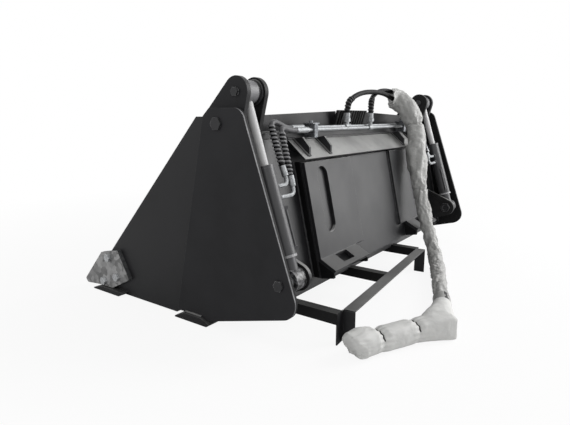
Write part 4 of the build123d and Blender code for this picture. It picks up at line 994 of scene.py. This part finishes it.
# Cords drawn tight round the sack at its ties, which show between two angles; elsewhere the folds close over them
TIE_RADIUS = 0.0024
TIE_POINTS = 56
TIE_SIDES = 8
TIE_SHOWS = (0.3, 2.75)
TIE_PROUD = 0.0008
TIE_SUNK = -0.0045
skin = bvhtree.BVHTree.FromPolygons([v.co for v in sack_mesh.vertices], [p.vertices for p in sack_mesh.polygons])
for name, distance in zip(("right_tie", "left_tie"), TIES):
    point, _, across, _ = bag_line.at(distance)
    middle = point + UP * (BAG_LIFT + between(bag_tables[1], distance))
    outs = [swung(across, UP, angle) for angle in turns(TIE_POINTS)]
    points = []
    for angle, out in zip(turns(TIE_POINTS), outs):
        hit = skin.ray_cast(middle + out * 0.1, -out)[0]
        spot = hit + out * (TIE_PROUD if TIE_SHOWS[0] < angle < TIE_SHOWS[1] else TIE_SUNK)
        spot.z = max(spot.z, TIE_RADIUS + 0.0005)
        points.append(spot)
    rings = []
    for i, (point, out) in enumerate(zip(points, outs)):
        along = (points[(i + 1) % TIE_POINTS] - points[i - 1]).normalized()
        beside = along.cross(out).normalized()
        rings.append([point + swung(out, beside, angle) * TIE_RADIUS for angle in turns(TIE_SIDES)])
    tie = dress(name, tube_mesh(name, rings, closed=True), "bag_fabric", tie_cord)
    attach(tie, "back")


# Pale floor that keeps the shadow, white background and soft studio light
floor_mesh = bpy.data.meshes.new("floor")
floor_mesh.from_pydata([(-40, -40, 0), (40, -40, 0), (40, 40, 0), (-40, 40, 0)], [], [(0, 1, 2, 3)])
place("floor", floor_mesh)
floor_paint = bpy.data.materials.new("matt_white_floor")
floor_paint.use_nodes = True
tree = floor_paint.node_tree
tree.nodes.remove(tree.nodes["Principled BSDF"])
matt = add(tree, "BsdfDiffuse", {"Color": linear("eeeeee")})
bright = add(tree, "Emission", {"Color": linear("ffffff")})
seen = add(tree, "LightPath").outputs["Is Camera Ray"]
where = add(tree, "TexCoord").outputs["Object"]
far = add(tree, "VectorMath", {0: where}, operation="LENGTH")
fade = add(tree, "MapRange", {"Value": far, "From Min": 1.2, "From Max": 3.2, "To Min": 0.9})
# Under the bucket, where little light reaches, the floor shows its own shade: middle and half size of that patch
SHADED_MIDDLE = (0.0, 0.16, 0.0)
SHADED_HALF = (0.82, 0.22, 0.0)
off = add(tree, "VectorMath", {0: where, 1: SHADED_MIDDLE}, operation="SUBTRACT")
aside = add(tree, "VectorMath", {0: off}, operation="ABSOLUTE")
past = add(tree, "VectorMath", {0: aside, 1: SHADED_HALF}, operation="SUBTRACT")
axes = add(tree, "SeparateXYZ", {"Vector": past}).outputs
outside = add(tree, "Math", {0: axes["X"], 1: axes["Y"]}, operation="MAXIMUM")
open_floor = add(tree, "MapRange", {"Value": outside, "From Max": 0.06, "To Min": 0.25})
lit = add(tree, "Math", {0: fade, 1: open_floor}, operation="MULTIPLY")
share = add(tree, "Math", {0: seen, 1: lit}, operation="MULTIPLY")
both = add(tree, "MixShader", {0: share, 1: matt, 2: bright})
feed(tree, tree.nodes["Material Output"].inputs["Surface"], both)
floor_mesh.materials.append(floor_paint)

world = bpy.data.worlds.new("studio")
scene.world = world
world.use_nodes = True
tree = world.node_tree
rays = add(tree, "LightPath").outputs
direct = add(tree, "Math", {0: rays["Is Camera Ray"], 1: rays["Is Glossy Ray"]}, operation="MAXIMUM")
shown = add(tree, "Math", {0: direct, 1: rays["Is Transmission Ray"]}, operation="MAXIMUM")
level = add(tree, "MapRange", {"Value": shown, "To Min": 0.5})
background = tree.nodes["Background"]
background.inputs["Color"].default_value = linear("ffffff")
feed(tree, background.inputs["Strength"], level)


def soft_lamp(name, spot, aim, size, power):
    """Square soft lamp that looks at a point."""
    lamp = bpy.data.lights.new(name, "AREA")
    lamp.size = size
    lamp.energy = power
    holder = place(name, lamp)
    holder.location = spot
    holder.rotation_mode = "QUATERNION"
    holder.rotation_quaternion = (Vector(aim) - Vector(spot)).to_track_quat("-Z", "Y")


soft_lamp("key_lamp", (2.4, -3.0, 2.8), (0.0, -0.3, 0.4), 2.2, 110.0)
soft_lamp("sheen_card", (3.2, -3.5, 1.1), (0.0, -0.3, 0.4), 2.8, 90.0)
soft_lamp("fill_lamp", (-3.2, -1.2, 2.2), (0.0, 0.0, 0.4), 2.5, 14.0)
scene.view_settings.view_transform = "Standard"
